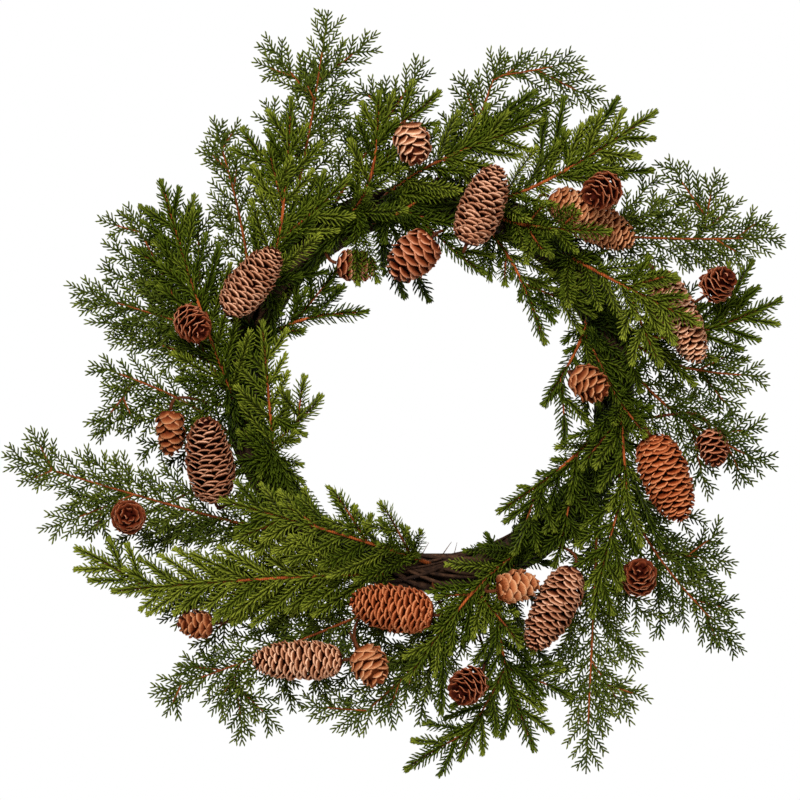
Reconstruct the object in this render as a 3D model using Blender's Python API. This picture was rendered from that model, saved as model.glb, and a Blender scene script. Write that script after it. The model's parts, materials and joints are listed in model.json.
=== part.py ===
"""Pine cone wreath: a grapevine ring, evergreen picks wired into it and pine cones on stalks.

The wreath hangs upright. +X is right, +Z is up and its face looks towards -Y.
The origin is the hook's seat, on the inner face of the ring at its top.
A place on the wreath is given as a clock angle (degrees clockwise from the top),
a reach (mm from the ring's centre) and a depth (mm in front of the ring's middle plane).
"""
import itertools
import math
import random

import bmesh
import bpy
import numpy as np
from mathutils import Vector
from mathutils.bvhtree import BVHTree
from mathutils.geometry import intersect_point_line

MM = 0.001

# The grapevine ring
RING_REACH = 145.0
RING_TUBE = 14.0
RING_STEPS = 40
RING_SIDES = 10
VINE_LOBES = 5
VINE_LOBE_DEPTH = 2.0
VINE_TURNS = 3
HOOK_SEAT_REACH = 130.0
HOOK_SEAT_HALF_ANGLE = 10.0
HOOK_SEAT_DEPTH = 9.0
WALL_BEHIND = 11.0
SHARP_ANGLE = 40.0

# Clearances between separate pieces
SEAT_GAP = 0.35
PIECE_GAP = 0.5
HOOK_ROOM = 15.0

# Twigs and needles
STEM_RADIUS = {"cedar": 1.1, "spruce": 1.3}
TWIG_RADIUS = {"cedar": 0.85, "spruce": 1.05}
NEEDLE_LENGTH = {"cedar": 10.0, "spruce": 8.5}
NEEDLE_LEAN = {"cedar": 38.0, "spruce": 48.0}
WHORL_STEP = {"cedar": 16.5, "spruce": 14.0}
WHORL_LENGTH = 2.8
BARE_ROOT = 16.0
FORK_ANGLE = 36.0
BUD_LENGTH = 6.0
SHORTEST_TWIG = 22.0
NEEDLE_RADIUS = 0.6
NEEDLE_FOOT = 0.6
NEEDLE_TURNS = (0, -12, 10, -20)
NEEDLE_WOBBLE = 4.0
NEEDLE_SPAN = (0.92, 1.05)
NEEDLE_SEED = 24

# How the routes of stems, twigs and stalks are shaped and tried out: turns in degrees, shifts
# of the depth in mm, the rest as shares
STEM_TURNS = (0, -5, 5, -10)
STEM_SHIFTS = (0, 6, -6, 12, -12, 18)
STEM_LIFTS = (0.6, 1.0)
STEM_SWEEP = 0.9
STEM_HOLD = 0.36
STEM_LEVEL = 0.7
LEAST_FORK = 18.0
MOST_FORK = 65.0
TURN_COST = 1.5
FORK_CHOICES = 4
FORK_ROOM = 12.0
TIP_SPREAD = 5
TIP_SHIFTS = (0, 7, -7, 14, -14)
LEAST_FACING = 0.5
LEAVE_BEND = 0.15
ARRIVE_BEND = 0.2
TWIG_BARE_ROOT = 10.0
STALK_TURNS = (0, -5, 5, -10, 10, -16, 16, -24, 24)
STALK_SIDES = (60, 30, 90, 0, 120, 150)
STALK_HOLD = 0.4
STALK_RODS = 6
ENOUGH_ROOM = 2.0
LENGTH_COST = 0.01
TEST_PACE = 7.0
ROD_TESTS = 6
BEFORE_BASE = (0.3, 0.45, 0.6)
SEAT_STEP = 0.05
SEAT_STATIONS = (0, 2, 4, 7)

# Cones: name, clock and reach of the middle, clock angle the tip points to, length,
# diameter, lean of the tip towards the viewer and depth of the middle
LARGE_CONES = (
    ("cone_large_01", 301, 160, 39, 64, 35, 10, 46),
    ("cone_large_02", 252, 179, 353, 70, 39, 20, 44),
    ("cone_large_03", 16, 147, 22, 66, 37, 8, 50),
    ("cone_large_04", 74, 199, 153, 80, 35, 0, 42),
    ("cone_large_05", 111, 195, 159, 71, 40, 5, 48),
    ("cone_large_06", 151, 195, 208, 72, 36, 8, 48),
    ("cone_large_07", 190, 172, 280, 66, 39, 5, 48),
    ("cone_large_08", 206, 234, 270, 71, 33, 5, 42),
    ("cone_large_09", 44, 180, 119, 76, 36, 0, 40),
    ("cone_large_10", 352, 102, 225, 44, 37, 0, 34),
)
SMALL_CONES = (
    ("cone_small_01", 285, 189, 130, 33, 29, 45, 48),
    ("cone_small_02", 260, 204, 180, 36, 25, 0, 34),
    ("cone_small_03", 247, 253, 30, 24, 28, 80, 44),
    ("cone_small_04", 225, 258, 270, 28, 24, 10, 34),
    ("cone_small_05", 192, 220, 145, 32, 30, 20, 48),
    ("cone_small_06", 173, 232, 230, 32, 30, 45, 50),
    ("cone_small_07", 156, 167, 80, 34, 28, -10, 56),
    ("cone_small_08", 132, 217, 0, 30, 29, 60, 46),
    ("cone_small_09", 102, 224, 170, 30, 26, 20, 40),
    ("cone_small_10", 70, 237, 45, 30, 28, 45, 44),
    ("cone_small_11", 89, 124, 120, 32, 29, 20, 42),
    ("cone_small_12", 41, 198, 235, 33, 30, 45, 78),
    ("cone_small_13", 356, 187, 160, 32, 30, 20, 54),
    ("cone_small_14", 329, 110, 100, 32, 27, 0, 30),
)
STALK_RADIUS = 1.1
LARGE_ROWS = 9
SMALL_ROWS = 5
CONE_COLUMNS = 12
STALK_STEP = 18.0
BODY_END = 0.7
# Shares of a cone's length, of a row's pitch and of the radius
FIRST_ROW = 0.02
LAST_ROW = 0.96
LIP_RISE = 0.45
GAP_DROP = 0.1
GAP_DEPTH = 0.8
# The cone's outline: how square its ends are, and how it narrows from base to tip
CONE_SQUARENESS = 2.6
CONE_SHOULDER = 1.03
CONE_TAPER = 0.2

# Picks: name, clock angle of the root on the ring, side of the ring's tube that the root
# sits on (0 outer edge, 90 front, 180 inner edge), depth of the tips, and then the clock
# and reach of the leading tip, followed by those of its side twigs
PICKS = (
    ("cedar_01", 314, 35, 14, ((345, 305), (335, 301), (351, 278), (338, 262), (332, 288), (330, 258))),
    ("cedar_02", 298, 25, 6, ((321, 268), (324, 256), (317, 259), (321, 238))),
    ("cedar_03", 329, 40, 22, ((359, 253), (352, 242), (347, 243), (343, 219))),
    ("cedar_04", 281, 30, 12, ((308, 229), (305, 239), (298, 227))),
    ("cedar_05", 268, 35, 20, ((301, 274), (281, 250), (286, 291), (297, 288), (300, 255))),
    ("cedar_06", 255, 30, 10, ((274, 264), (269, 255), (263, 262), (263, 232))),
    ("cedar_07", 222, 35, 22, ((261, 335), (264, 312), (257, 326), (250, 319), (246, 290), (253, 262))),
    ("cedar_08", 189, 35, 16, ((222, 321), (222, 292), (219, 325), (214, 302), (208, 312), (204, 290))),
    ("cedar_09", 165, 35, 14, ((194, 274), (202, 268), (188, 261), (185, 240))),
    ("cedar_10", 206, 30, 12, ((229, 276), (231, 264), (221, 274))),
    ("cedar_11", 122, 35, 18, ((158, 324), (149, 303), (145, 295), (137, 252))),
    ("cedar_12", 111, 30, 12, ((130, 317), (126, 299), (120, 272), (116, 254), (132, 306))),
    ("cedar_13", 84, 35, 20, ((103, 274), (97, 263), (107, 258), (111, 232))),
    ("cedar_14", 70, 30, 10, ((88, 264), (83, 246), (96, 245))),
    ("cedar_15", 38, 35, 20, ((67, 300), (63, 296), (59, 282), (68, 268), (53, 280), (46, 258))),
    ("cedar_16", 358, 35, 14, ((12, 268), (6, 246), (17, 268), (25, 282), (31, 261))),
    ("spruce_01", 300, 75, 34, ((334, 245), (324, 244), (326, 222), (338, 173))),
    ("spruce_02", 333, 80, 42, ((350, 228), (1, 226), (352, 190), (342, 159))),
    ("spruce_03", 351, 60, 30, ((22, 222), (15, 218), (9, 195), (14, 177))),
    ("spruce_04", 16, 70, 38, ((39, 272), (41, 239), (31, 239), (40, 205))),
    ("spruce_05", 65, 50, 30, ((76, 277), (69, 267), (78, 226))),
    ("spruce_06", 22, 95, 62, ((48, 180), (32, 166), (40, 174), (40, 136))),
    ("spruce_07", 339, 120, 22, ((3, 160), (0, 64), (3, 130), (23, 99))),
    ("spruce_08", 19, 140, 30, ((66, 96), (65, 137), (57, 150), (35, 101))),
    ("spruce_09", 44, 80, 66, ((76, 209), (65, 203), (83, 176))),
    ("spruce_10", 65, 130, 26, ((96, 91), (110, 111), (94, 146))),
    ("spruce_11", 89, 85, 44, ((122, 180), (116, 133), (102, 167), (144, 213))),
    ("spruce_12", 103, 130, 36, ((149, 109), (144, 166), (152, 141))),
    ("spruce_13", 153, 60, 28, ((164, 288), (156, 261), (175, 285), (183, 293), (169, 270))),
    ("spruce_14", 150, 90, 44, ((184, 222), (170, 192), (177, 161), (161, 207))),
    ("spruce_15", 180, 125, 34, ((241, 180), (231, 144), (224, 109), (202, 98), (232, 186))),
    ("spruce_16", 194, 70, 38, ((237, 287), (245, 298), (234, 268), (225, 216))),
    ("spruce_17", 244, 130, 30, ((290, 138), (264, 87), (273, 98), (248, 109))),
    ("spruce_18", 285, 140, 30, ((318, 79), (326, 118), (294, 110))),
    ("spruce_19", 261, 60, 34, ((307, 260), (302, 258), (304, 242), (295, 249))),
)

# Colours and surface of each part
FINISHES = {
    "vine": ((0.10, 0.06, 0.045), 0.8),
    "cedar": ((0.10, 0.20, 0.06), 0.6),
    "spruce": ((0.06, 0.15, 0.04), 0.6),
    "cone_large": ((0.45, 0.26, 0.17), 0.7),
    "cone_small": ((0.36, 0.17, 0.09), 0.7),
}

FRONT = Vector((0, -1, 0))


def on_wreath(clock, reach, depth):
    """The point at a clock angle, a reach and a depth, in mm from the hook's seat."""
    turn = math.radians(clock)
    return Vector((reach * math.sin(turn), -depth, reach * math.cos(turn) - HOOK_SEAT_REACH))


def clockwise(clock):
    """The direction in which the wreath's foliage runs at a clock angle."""
    turn = math.radians(clock)
    return Vector((math.cos(turn), 0, -math.sin(turn)))


def outwards(clock, side):
    """The direction out of the ring's tube at a clock angle, on one side of the tube."""
    turn, around = math.radians(clock), math.radians(side)
    away = Vector((math.sin(turn), 0, math.cos(turn)))
    return away * math.cos(around) + FRONT * math.sin(around)


def bezier(points, fraction):
    """A point on the cubic curve with these four control points."""
    rest = 1 - fraction
    weights = (rest ** 3, 3 * rest ** 2 * fraction, 3 * rest * fraction ** 2, fraction ** 3)
    return sum((point * weight for point, weight in zip(points, weights)), Vector())


class Route:
    """A smooth curve that is read by the length along it."""

    SAMPLES = 48

    def __init__(self, controls):
        self.points = [bezier(controls, i / self.SAMPLES) for i in range(self.SAMPLES + 1)]
        self.lengths = [0.0]
        for before, after in zip(self.points, self.points[1:]):
            self.lengths.append(self.lengths[-1] + (after - before).length)
        self.length = self.lengths[-1]

    def at(self, distance):
        distance = min(max(distance, 0.0), self.length)
        i = min(int(np.searchsorted(self.lengths, distance, side="right")), self.SAMPLES) - 1
        span = self.lengths[i + 1] - self.lengths[i]
        return self.points[i].lerp(self.points[i + 1], (distance - self.lengths[i]) / span)

    def heading(self, distance):
        return (self.at(distance + 1.0) - self.at(distance - 1.0)).normalized()


class Rods:
    """All the placed twigs, needles, stalks and cone bodies as rods, to keep pieces apart."""

    def __init__(self):
        self.starts, self.ends = [], []
        self.radii, self.pieces, self.twigs, self.stations = [], [], [], []
        self.table = None

    def add(self, start, end, radius, piece, twig=-1, station=-1):
        self.starts.append(tuple(start))
        self.ends.append(tuple(end))
        self.radii.append(radius)
        self.pieces.append(piece)
        self.twigs.append(twig)
        self.stations.append(station)
        self.table = None

    def gap(self, start, end, radius, skip):
        """The least gap between a new rod and the placed rods that skip leaves in."""
        if not self.radii:
            return math.inf
        if self.table is None:
            self.table = {
                "starts": np.array(self.starts), "ends": np.array(self.ends),
                "radii": np.array(self.radii), "piece": np.array(self.pieces),
                "twig": np.array(self.twigs), "station": np.array(self.stations),
            }
        kept = ~skip(self.table)
        if not kept.any():
            return math.inf
        first, first_run = np.array(start), np.array(end) - np.array(start)
        others = self.table["starts"][kept]
        other_runs = self.table["ends"][kept] - others
        between = first - others
        a = max(float(first_run @ first_run), 1e-9)
        e = np.maximum((other_runs ** 2).sum(1), 1e-9)
        b, c, f = other_runs @ first_run, between @ first_run, (between * other_runs).sum(1)
        s = np.clip((b * f - c * e) / np.maximum(a * e - b * b, 1e-9), 0, 1)
        t = np.clip((b * s + f) / e, 0, 1)
        s = np.clip((b * t - c) / a, 0, 1)
        apart = between + s[:, None] * first_run - t[:, None] * other_runs
        return float((np.sqrt((apart ** 2).sum(1)) - self.table["radii"][kept]).min()) - radius


def fixed_gap(start, end, radius):
    """The gap between a rod and the ring, the wall and the room kept for the hook."""
    least = math.inf
    for i in range(ROD_TESTS + 1):
        point = start.lerp(end, i / ROD_TESTS)
        reach = math.hypot(point.x, point.z + HOOK_SEAT_REACH)
        ring = math.hypot(reach - RING_REACH, point.y) - RING_TUBE - VINE_LOBE_DEPTH
        hook = math.dist(point, (0, 0, -HOOK_ROOM / 2)) - HOOK_ROOM
        least = min(least, ring, hook, WALL_BEHIND - point.y)
    return least - radius


def material(name):
    colour, roughness = FINISHES[name]
    found = bpy.data.materials.get(name)
    if found is None:
        found = bpy.data.materials.new(name)
        found.use_nodes = True
        shader = found.node_tree.nodes["Principled BSDF"]
        shader.inputs["Base Color"].default_value = (*colour, 1)
        shader.inputs["Roughness"].default_value = roughness
    return found


def finish_object(name, mesh, finish, collection):
    mesh.materials.append(material(finish))
    made = bpy.data.objects.new(name, mesh)
    collection.objects.link(made)
    return made


def close_mesh(shape, name):
    """Turns a bmesh in mm into a mesh in metres, all triangles."""
    bmesh.ops.scale(shape, vec=(MM, MM, MM), verts=shape.verts)
    bmesh.ops.triangulate(shape, faces=shape.faces)
    mesh = bpy.data.meshes.new(name)
    shape.to_mesh(mesh)
    shape.free()
    return mesh


def make_ring(collection):
    """Twisted vines as one lobed ring, flat at its back and under the hook."""
    bpy.ops.mesh.primitive_torus_add(
        major_segments=RING_STEPS, minor_segments=RING_SIDES,
        major_radius=RING_REACH, minor_radius=RING_TUBE)
    ring = bpy.context.object
    ring.name = "vine_ring"
    collection.objects.link(ring)
    bpy.context.collection.objects.unlink(ring)
    for vertex in ring.data.vertices:
        turn = math.atan2(vertex.co.x, vertex.co.y)
        reach = math.hypot(vertex.co.x, vertex.co.y)
        around = math.atan2(vertex.co.z, reach - RING_REACH)
        tube = RING_TUBE + VINE_LOBE_DEPTH * math.cos(VINE_LOBES * around + VINE_TURNS * turn)
        reach = RING_REACH + tube * math.cos(around)
        back = min(-tube * math.sin(around), WALL_BEHIND)
        under_hook = (abs(math.degrees(turn)) < HOOK_SEAT_HALF_ANGLE
                      and reach < RING_REACH - HOOK_SEAT_DEPTH)
        height = HOOK_SEAT_REACH if under_hook else reach * math.cos(turn)
        vertex.co = Vector((reach * math.sin(turn), back, height - HOOK_SEAT_REACH)) * MM
    shape = bmesh.new()
    shape.from_mesh(ring.data)
    bmesh.ops.triangulate(shape, faces=shape.faces)
    shape.to_mesh(ring.data)
    shape.free()
    ring.data.materials.append(material("vine"))
    ring.data.shade_smooth()
    ring.data.set_sharp_from_angle(angle=math.radians(SHARP_ANGLE))
    return ring


def extrude_end(shape, face):
    return bmesh.ops.extrude_discrete_faces(shape, faces=[face])["faces"][0]


def start_rod(shape, root, heading, radius, length):
    """A short three-cornered rod that starts at the root; returns its far end face."""
    bmesh.ops.create_cone(shape, cap_ends=True, segments=3, radius1=radius, radius2=radius, depth=1)
    ends = [face for face in shape.faces if len(face.verts) == 3]
    end = max(ends, key=lambda face: face.calc_center_median().z)
    for corner, offset in zip(end.verts, section_offsets(heading, radius, 0)):
        corner.co = root + heading * length + offset
        partner = next(edge.other_vert(corner) for edge in corner.link_edges if edge not in end.edges)
        partner.co = corner.co - heading * length
    return end


def end_sides(end):
    """The side faces of the last stretch that was extruded."""
    return {face for corner in end.verts for face in corner.link_faces} - {end}


def nearest_facing(faces, direction):
    for face in faces:
        face.normal_update()
    return max(faces, key=lambda face: face.normal.dot(direction))


def facing_frame(heading):
    """Two directions square to a heading, the first as near to the viewer as it can be."""
    first = (FRONT - heading * FRONT.dot(heading)).normalized()
    return first, heading.cross(first)


def section_offsets(heading, radius, roll):
    """Where the three corners of a twig's section lie round its middle."""
    first, second = facing_frame(heading)
    angles = [math.radians(roll + 60 + 120 * i) for i in range(3)]
    return [(first * math.cos(angle) + second * math.sin(angle)) * radius for angle in angles]


def ring_seat(ring_tree, clock, side, heading, radius):
    """The place where a stem's or stalk's root end sits just clear of the ring's surface."""
    out = outwards(clock, side)
    above = on_wreath(clock, RING_REACH, 0) + out * 2 * RING_TUBE
    seat = ring_tree.ray_cast(above * MM, -out)[0] / MM
    corners = section_offsets(heading, radius, 0)
    rim = corners + [(corners[i] + corners[i - 1]) / 2 for i in range(3)]
    tested = [offset + heading * ahead for offset in rim for ahead in SEAT_STATIONS]
    while True:
        gaps = []
        for offset in tested:
            surface, normal = ring_tree.find_nearest((seat + offset) * MM)[:2]
            gaps.append((seat + offset - surface / MM).dot(normal))
        if min(gaps) >= SEAT_GAP:
            return seat
        seat += out * SEAT_STEP


class Cone:
    """Where one cone and its stalk lie."""

    def __init__(self, plan, rows):
        self.name, clock, reach, points_to, self.length, across, lean, depth = plan
        self.radius = across / 2
        self.rows = rows
        turn, tilt = math.radians(points_to), math.radians(lean)
        flat = Vector((math.sin(turn), 0, math.cos(turn)))
        self.axis = flat * math.cos(tilt) + FRONT * math.sin(tilt)
        self.base = on_wreath(clock, reach, depth) - self.axis * self.length / 2

    def body(self):
        """The rod that the cone's body fills."""
        end_room = min(BODY_END * self.radius, self.length / 2)
        return self.base + self.axis * end_room, self.base + self.axis * (self.length - end_room)

    def clear_of_body(self, place):
        """How far a place lies outside the cone's own body."""
        start, end = self.body()
        nearest = intersect_point_line(place, start, end)
        share = min(max(nearest[1], 0.0), 1.0)
        return (place - start.lerp(end, share)).length - self.radius - STALK_RADIUS

    def stalk_choices(self, ring_tree):
        """Stalk routes from the ring to the cone's base, the nearest seats first."""
        clock = math.degrees(math.atan2(self.base.x, self.base.z + HOOK_SEAT_REACH))
        for turn in STALK_TURNS:
            for side in STALK_SIDES:
                out = outwards(clock + turn, side)
                seat = ring_seat(ring_tree, clock + turn, side, out, STALK_RADIUS)
                hold = (self.base - seat).length * STALK_HOLD
                behind = self.base - self.axis * hold
                yield Route((seat, seat + out * hold, behind, self.base))


def route_gap(rods, route, radius, piece, free_start, fork_room=0.0):
    """The least gap along a route, with its own pick left out near the fork it grows from."""
    count = max(2, math.ceil(route.length / TEST_PACE))
    least = math.inf
    for i in range(count):
        start, end = route.at(route.length * i / count), route.at(route.length * (i + 1) / count)
        near_fork = route.length * i / count < fork_room
        least = min(least, rods.gap(
            start, end, radius, lambda table: (table["piece"] == piece) & near_fork))
        if route.length * i / count >= free_start:
            least = min(least, fixed_gap(start, end, radius))
    return least


def place_cones(rods, ring_tree):
    """Puts the cones down first, and finds each a stalk that misses the others."""
    cones = [Cone(plan, LARGE_ROWS) for plan in LARGE_CONES]
    cones += [Cone(plan, SMALL_ROWS) for plan in SMALL_CONES]
    for cone in cones:
        rods.add(*cone.body(), cone.radius, cone.name)
    for cone in cones:
        best_score = -math.inf
        for route in cone.stalk_choices(ring_tree):
            others = route_gap(rods, route, STALK_RADIUS, cone.name, RING_TUBE / 2, route.length)
            own = min(cone.clear_of_body(route.at(route.length * share)) for share in BEFORE_BASE)
            score = min(others, own, ENOUGH_ROOM) - route.length * LENGTH_COST
            if score > best_score:
                best_score, cone.stalk = score, route
        for i in range(STALK_RODS):
            start, end = (cone.stalk.at(cone.stalk.length * (i + k) / STALK_RODS) for k in (0, 1))
            rods.add(start, end, STALK_RADIUS, cone.name)
    return cones


class Twig:
    """One stem or side twig: its route, and the stations that carry needles or forks."""

    def __init__(self, kind, route, radius, bare, parent=None, fork=None):
        self.kind, self.route, self.radius = kind, route, radius
        self.parent, self.fork = parent, fork
        last = route.length - BUD_LENGTH
        count = round((last - bare) / WHORL_STEP[kind])
        self.stations = [last - (last - bare) * i / count for i in range(count, 0, -1)] + [last]
        self.taken = set()
        self.needles = []

    def station_facing(self, station, side):
        """The direction that one of the three sides looks in at a station."""
        heading = self.route.heading(self.stations[station])
        first, second = facing_frame(heading)
        angle = math.radians(60 * (station % 2) + 120 * side)
        return first * math.cos(angle) + second * math.sin(angle)


class Pick:
    """One evergreen pick: a stem seated on the ring and the side twigs that fork from it."""

    def __init__(self, plan, ring_tree, rods):
        self.name, clock, side, self.depth, tips = plan
        self.kind = self.name.split("_")[0]
        self.tips = [(tip_clock, reach) for tip_clock, reach in tips]
        self.twigs = []
        radius = STEM_RADIUS[self.kind]
        best_gap = -math.inf
        for turn, shift, lift in itertools.product(STEM_TURNS, STEM_SHIFTS, STEM_LIFTS):
            if best_gap > 2 * PIECE_GAP:
                break
            out = outwards(clock + turn, side)
            start = (clockwise(clock + turn) * STEM_SWEEP + out * lift).normalized()
            seat = ring_seat(ring_tree, clock + turn, side, start, radius)
            route = self.stem_route(seat, start, self.depth + shift)
            gap = route_gap(rods, route, radius, self.name, BARE_ROOT)
            if gap > best_gap:
                best_gap, best_route = gap, route
        self.depth = -best_route.points[-1].y
        self.stem_gap = best_gap
        self.add_twig(rods, Twig(self.kind, best_route, radius, BARE_ROOT))

    def stem_route(self, seat, start, depth):
        tip = on_wreath(*self.tips[0], depth)
        hold = (tip - seat).length * STEM_HOLD
        rise = seat + start * hold
        arrive = (tip - rise).normalized()
        before_tip = tip - arrive * hold
        before_tip.y = rise.y + (tip.y - rise.y) * STEM_LEVEL
        return Route((seat, rise, before_tip, tip))

    def add_twig(self, rods, twig):
        number = len(self.twigs)
        self.twigs.append(twig)
        marks = [0.0] + twig.stations + [twig.route.length]
        for station, (start, end) in enumerate(zip(marks, marks[1:])):
            rods.add(twig.route.at(start), twig.route.at(end), twig.radius, self.name, number, station)

    def fork_for(self, tip):
        """The station of an earlier twig that reaches the tip soonest at about the fork angle."""
        choices = []
        for twig in self.twigs:
            for station, along in enumerate(twig.stations[:-1]):
                place = twig.route.at(along)
                turn = math.degrees(twig.route.heading(along).angle(tip - place))
                if LEAST_FORK < turn < MOST_FORK and (tip - place).length > SHORTEST_TWIG:
                    cost = (tip - place).length + TURN_COST * abs(turn - FORK_ANGLE)
                    choices.append((cost, twig, station))
        choices.sort(key=lambda choice: choice[0])
        return choices

    def grow_side_twig(self, rods, clock, reach, shift):
        """Adds a side twig to one tip, if it finds room."""
        radius = TWIG_RADIUS[self.kind]
        for change in TIP_SHIFTS:
            tip = on_wreath(clock, reach, self.depth + shift + change)
            for _, parent, station in self.fork_for(tip)[:FORK_CHOICES]:
                place = parent.route.at(parent.stations[station])
                heading = parent.route.heading(parent.stations[station])
                across = (tip - place) - heading * (tip - place).dot(heading)
                sides = [k for k in range(3) if (station, k) not in parent.taken]
                if not sides:
                    continue
                side = max(sides, key=lambda k: parent.station_facing(station, k).dot(across))
                facing = parent.station_facing(station, side)
                if facing.dot(across.normalized()) < LEAST_FACING:
                    continue
                base = place + facing * parent.radius / 2
                hold = (tip - base).length / 3
                leave = ((tip - base).normalized() + (heading + facing) * LEAVE_BEND).normalized()
                arrive = ((tip - base).normalized() + heading * ARRIVE_BEND).normalized()
                route = Route((base, base + leave * hold, tip - arrive * hold, tip))
                if route_gap(rods, route, radius, self.name, 0, FORK_ROOM) > PIECE_GAP:
                    parent.taken.add((station, side))
                    twig = Twig(self.kind, route, radius, TWIG_BARE_ROOT, parent, (station, side))
                    self.add_twig(rods, twig)
                    return True
        return False

    def grow_needles(self, rods, draw):
        """Adds the needles that find room, on every free side of every station."""
        length, lean = NEEDLE_LENGTH[self.kind], NEEDLE_LEAN[self.kind]
        for number, twig in enumerate(self.twigs):
            for station, along in enumerate(twig.stations):
                place, heading = twig.route.at(along), twig.route.heading(along)
                for side in range(3):
                    if (station, side) in twig.taken:
                        continue
                    facing = twig.station_facing(station, side)
                    for change in NEEDLE_TURNS:
                        angle = math.radians(lean + change + draw.uniform(-NEEDLE_WOBBLE, NEEDLE_WOBBLE))
                        way = heading * math.cos(angle) + facing * math.sin(angle)
                        root = place + facing * twig.radius * NEEDLE_FOOT
                        tip = root + way * length * draw.uniform(*NEEDLE_SPAN)
                        others = rods.gap(root, tip, NEEDLE_RADIUS, lambda table: (
                            (table["piece"] == self.name) & (table["twig"] == number)
                            & (abs(table["station"] - station) <= 1)))
                        if min(fixed_gap(root, tip, NEEDLE_RADIUS), others) > PIECE_GAP:
                            twig.needles.append((station, facing, tip))
                            rods.add(root, tip, NEEDLE_RADIUS, self.name, number, station)
                            break


def plan_picks(rods, ring_tree):
    """Places all stems, then the side twigs, then the needles."""
    draw = random.Random(NEEDLE_SEED)
    picks = [Pick(plan, ring_tree, rods) for plan in PICKS]
    for pick in picks:
        for number, (clock, reach) in enumerate(pick.tips[1:]):
            pick.grow_side_twig(rods, clock, reach, TIP_SPREAD * (number % 3 - 1))
    for pick in picks:
        pick.grow_needles(rods, draw)
    return picks


def least_turned(face, heading, radius, roll):
    """Offsets for a face's corners round a section, turned as little as can be."""
    middle = face.calc_center_median()
    offsets = section_offsets(heading, radius, roll)
    choices = [offsets[k:] + offsets[:k] for k in range(3)]
    costs = [sum((corner.co - middle - offset).length for corner, offset in zip(face.verts, choice))
             for choice in choices]
    return min(costs), choices[costs.index(min(costs))]


def move_section(face, middle, heading, radius, roll):
    """Spreads an end face's corners round a point of the route."""
    for corner, offset in zip(face.verts, least_turned(face, heading, radius, roll)[1]):
        corner.co = middle + offset


def fork_face(shape, twig):
    """The half of a station's side face that a side twig grows from."""
    station, side = twig.fork
    free = twig.parent.faces[station]
    face = nearest_facing(free, twig.parent.station_facing(station, side))
    free.discard(face)
    halves = bmesh.ops.triangulate(shape, faces=[face])["faces"]
    heading = twig.route.heading(twig.stations[0])
    return min(halves, key=lambda half: least_turned(half, heading, twig.radius, 0)[0])


def model_twig(shape, twig, end):
    """Extrudes one twig from its first end face and notes the side faces of each station."""
    twig.faces = []
    for station, along in enumerate(twig.stations):
        for part in (-0.5, 0.5):
            end = extrude_end(shape, end)
            reach = along + part * WHORL_LENGTH
            move_section(end, twig.route.at(reach), twig.route.heading(along),
                         twig.radius, 60 * (station % 2))
        twig.faces.append(end_sides(end))
    bud = bmesh.ops.poke(shape, faces=[end])["verts"][0]
    bud.co = twig.route.points[-1]


def model_pick(pick, collection):
    """Builds one pick as a single closed mesh."""
    shape = bmesh.new()
    for twig in pick.twigs:
        if twig.parent is None:
            heading = twig.route.heading(0)
            end = start_rod(shape, twig.route.points[0], heading, twig.radius, BARE_ROOT / 3)
        else:
            end = fork_face(shape, twig)
        model_twig(shape, twig, end)
    for twig in pick.twigs:
        for station, facing, tip in twig.needles:
            face = nearest_facing(twig.faces[station], facing)
            twig.faces[station].discard(face)
            point = bmesh.ops.poke(shape, faces=[face])["verts"][0]
            point.co = tip
    finish_object(pick.name, close_mesh(shape, pick.name), pick.kind, collection)


def cone_profile(share):
    """The cone's radius at a share of its length, as a share of its widest radius."""
    rounded = max(0.0, 1 - abs(2 * share - 1) ** CONE_SQUARENESS) ** 0.5
    return rounded * (CONE_SHOULDER - CONE_TAPER * share)


def model_cone(cone, collection):
    """Builds one cone on its stalk, with staggered scales whose lips stand proud."""
    shape = bmesh.new()
    stalk = cone.stalk
    steps = max(3, round(stalk.length / STALK_STEP))
    end = start_rod(shape, stalk.points[0], stalk.heading(0), STALK_RADIUS, stalk.length / steps / 2)
    for i in range(1, steps + 1):
        end = extrude_end(shape, end)
        along = stalk.length * i / steps
        move_section(end, stalk.at(along), stalk.heading(along), STALK_RADIUS, 0)
    bmesh.ops.bisect_edges(shape, edges=end.edges, cuts=CONE_COLUMNS // 3 - 1)
    first, second = facing_frame(cone.axis)
    start = end.verts[0].co - stalk.points[-1]
    corner_turn = math.atan2(start.dot(second), start.dot(first))
    pitch = (LAST_ROW - FIRST_ROW) / cone.rows
    for row in range(cone.rows + 1):
        end = extrude_end(shape, end)
        for column, corner in enumerate(end.verts):
            proud = (row + column) % 2 == 0
            share = FIRST_ROW + pitch * (row + (LIP_RISE if proud else -GAP_DROP))
            share = min(max(share, FIRST_ROW / 2), 1 - FIRST_ROW / 2)
            radius = cone.radius * cone_profile(share) * (1.0 if proud else GAP_DEPTH)
            turn = corner_turn + 2 * math.pi * column / CONE_COLUMNS
            side = first * math.cos(turn) + second * math.sin(turn)
            corner.co = cone.base + cone.axis * cone.length * share + side * radius
    tip = bmesh.ops.poke(shape, faces=[end])["verts"][0]
    tip.co = cone.base + cone.axis * cone.length
    finish = "cone_large" if cone.rows == LARGE_ROWS else "cone_small"
    finish_object(cone.name, close_mesh(shape, cone.name), finish, collection)


def main():
    for thing in list(bpy.data.objects):
        bpy.data.objects.remove(thing, do_unlink=True)
    collection = bpy.data.collections.new("pine_cone_wreath")
    bpy.context.scene.collection.children.link(collection)
    ring = make_ring(collection)
    ring_tree = BVHTree.FromPolygons(
        [vertex.co for vertex in ring.data.vertices],
        [tuple(face.vertices) for face in ring.data.polygons])
    rods = Rods()
    for cone in place_cones(rods, ring_tree):
        model_cone(cone, collection)
    for pick in plan_picks(rods, ring_tree):
        model_pick(pick, collection)


main()
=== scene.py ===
import itertools
import json
import math

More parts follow.
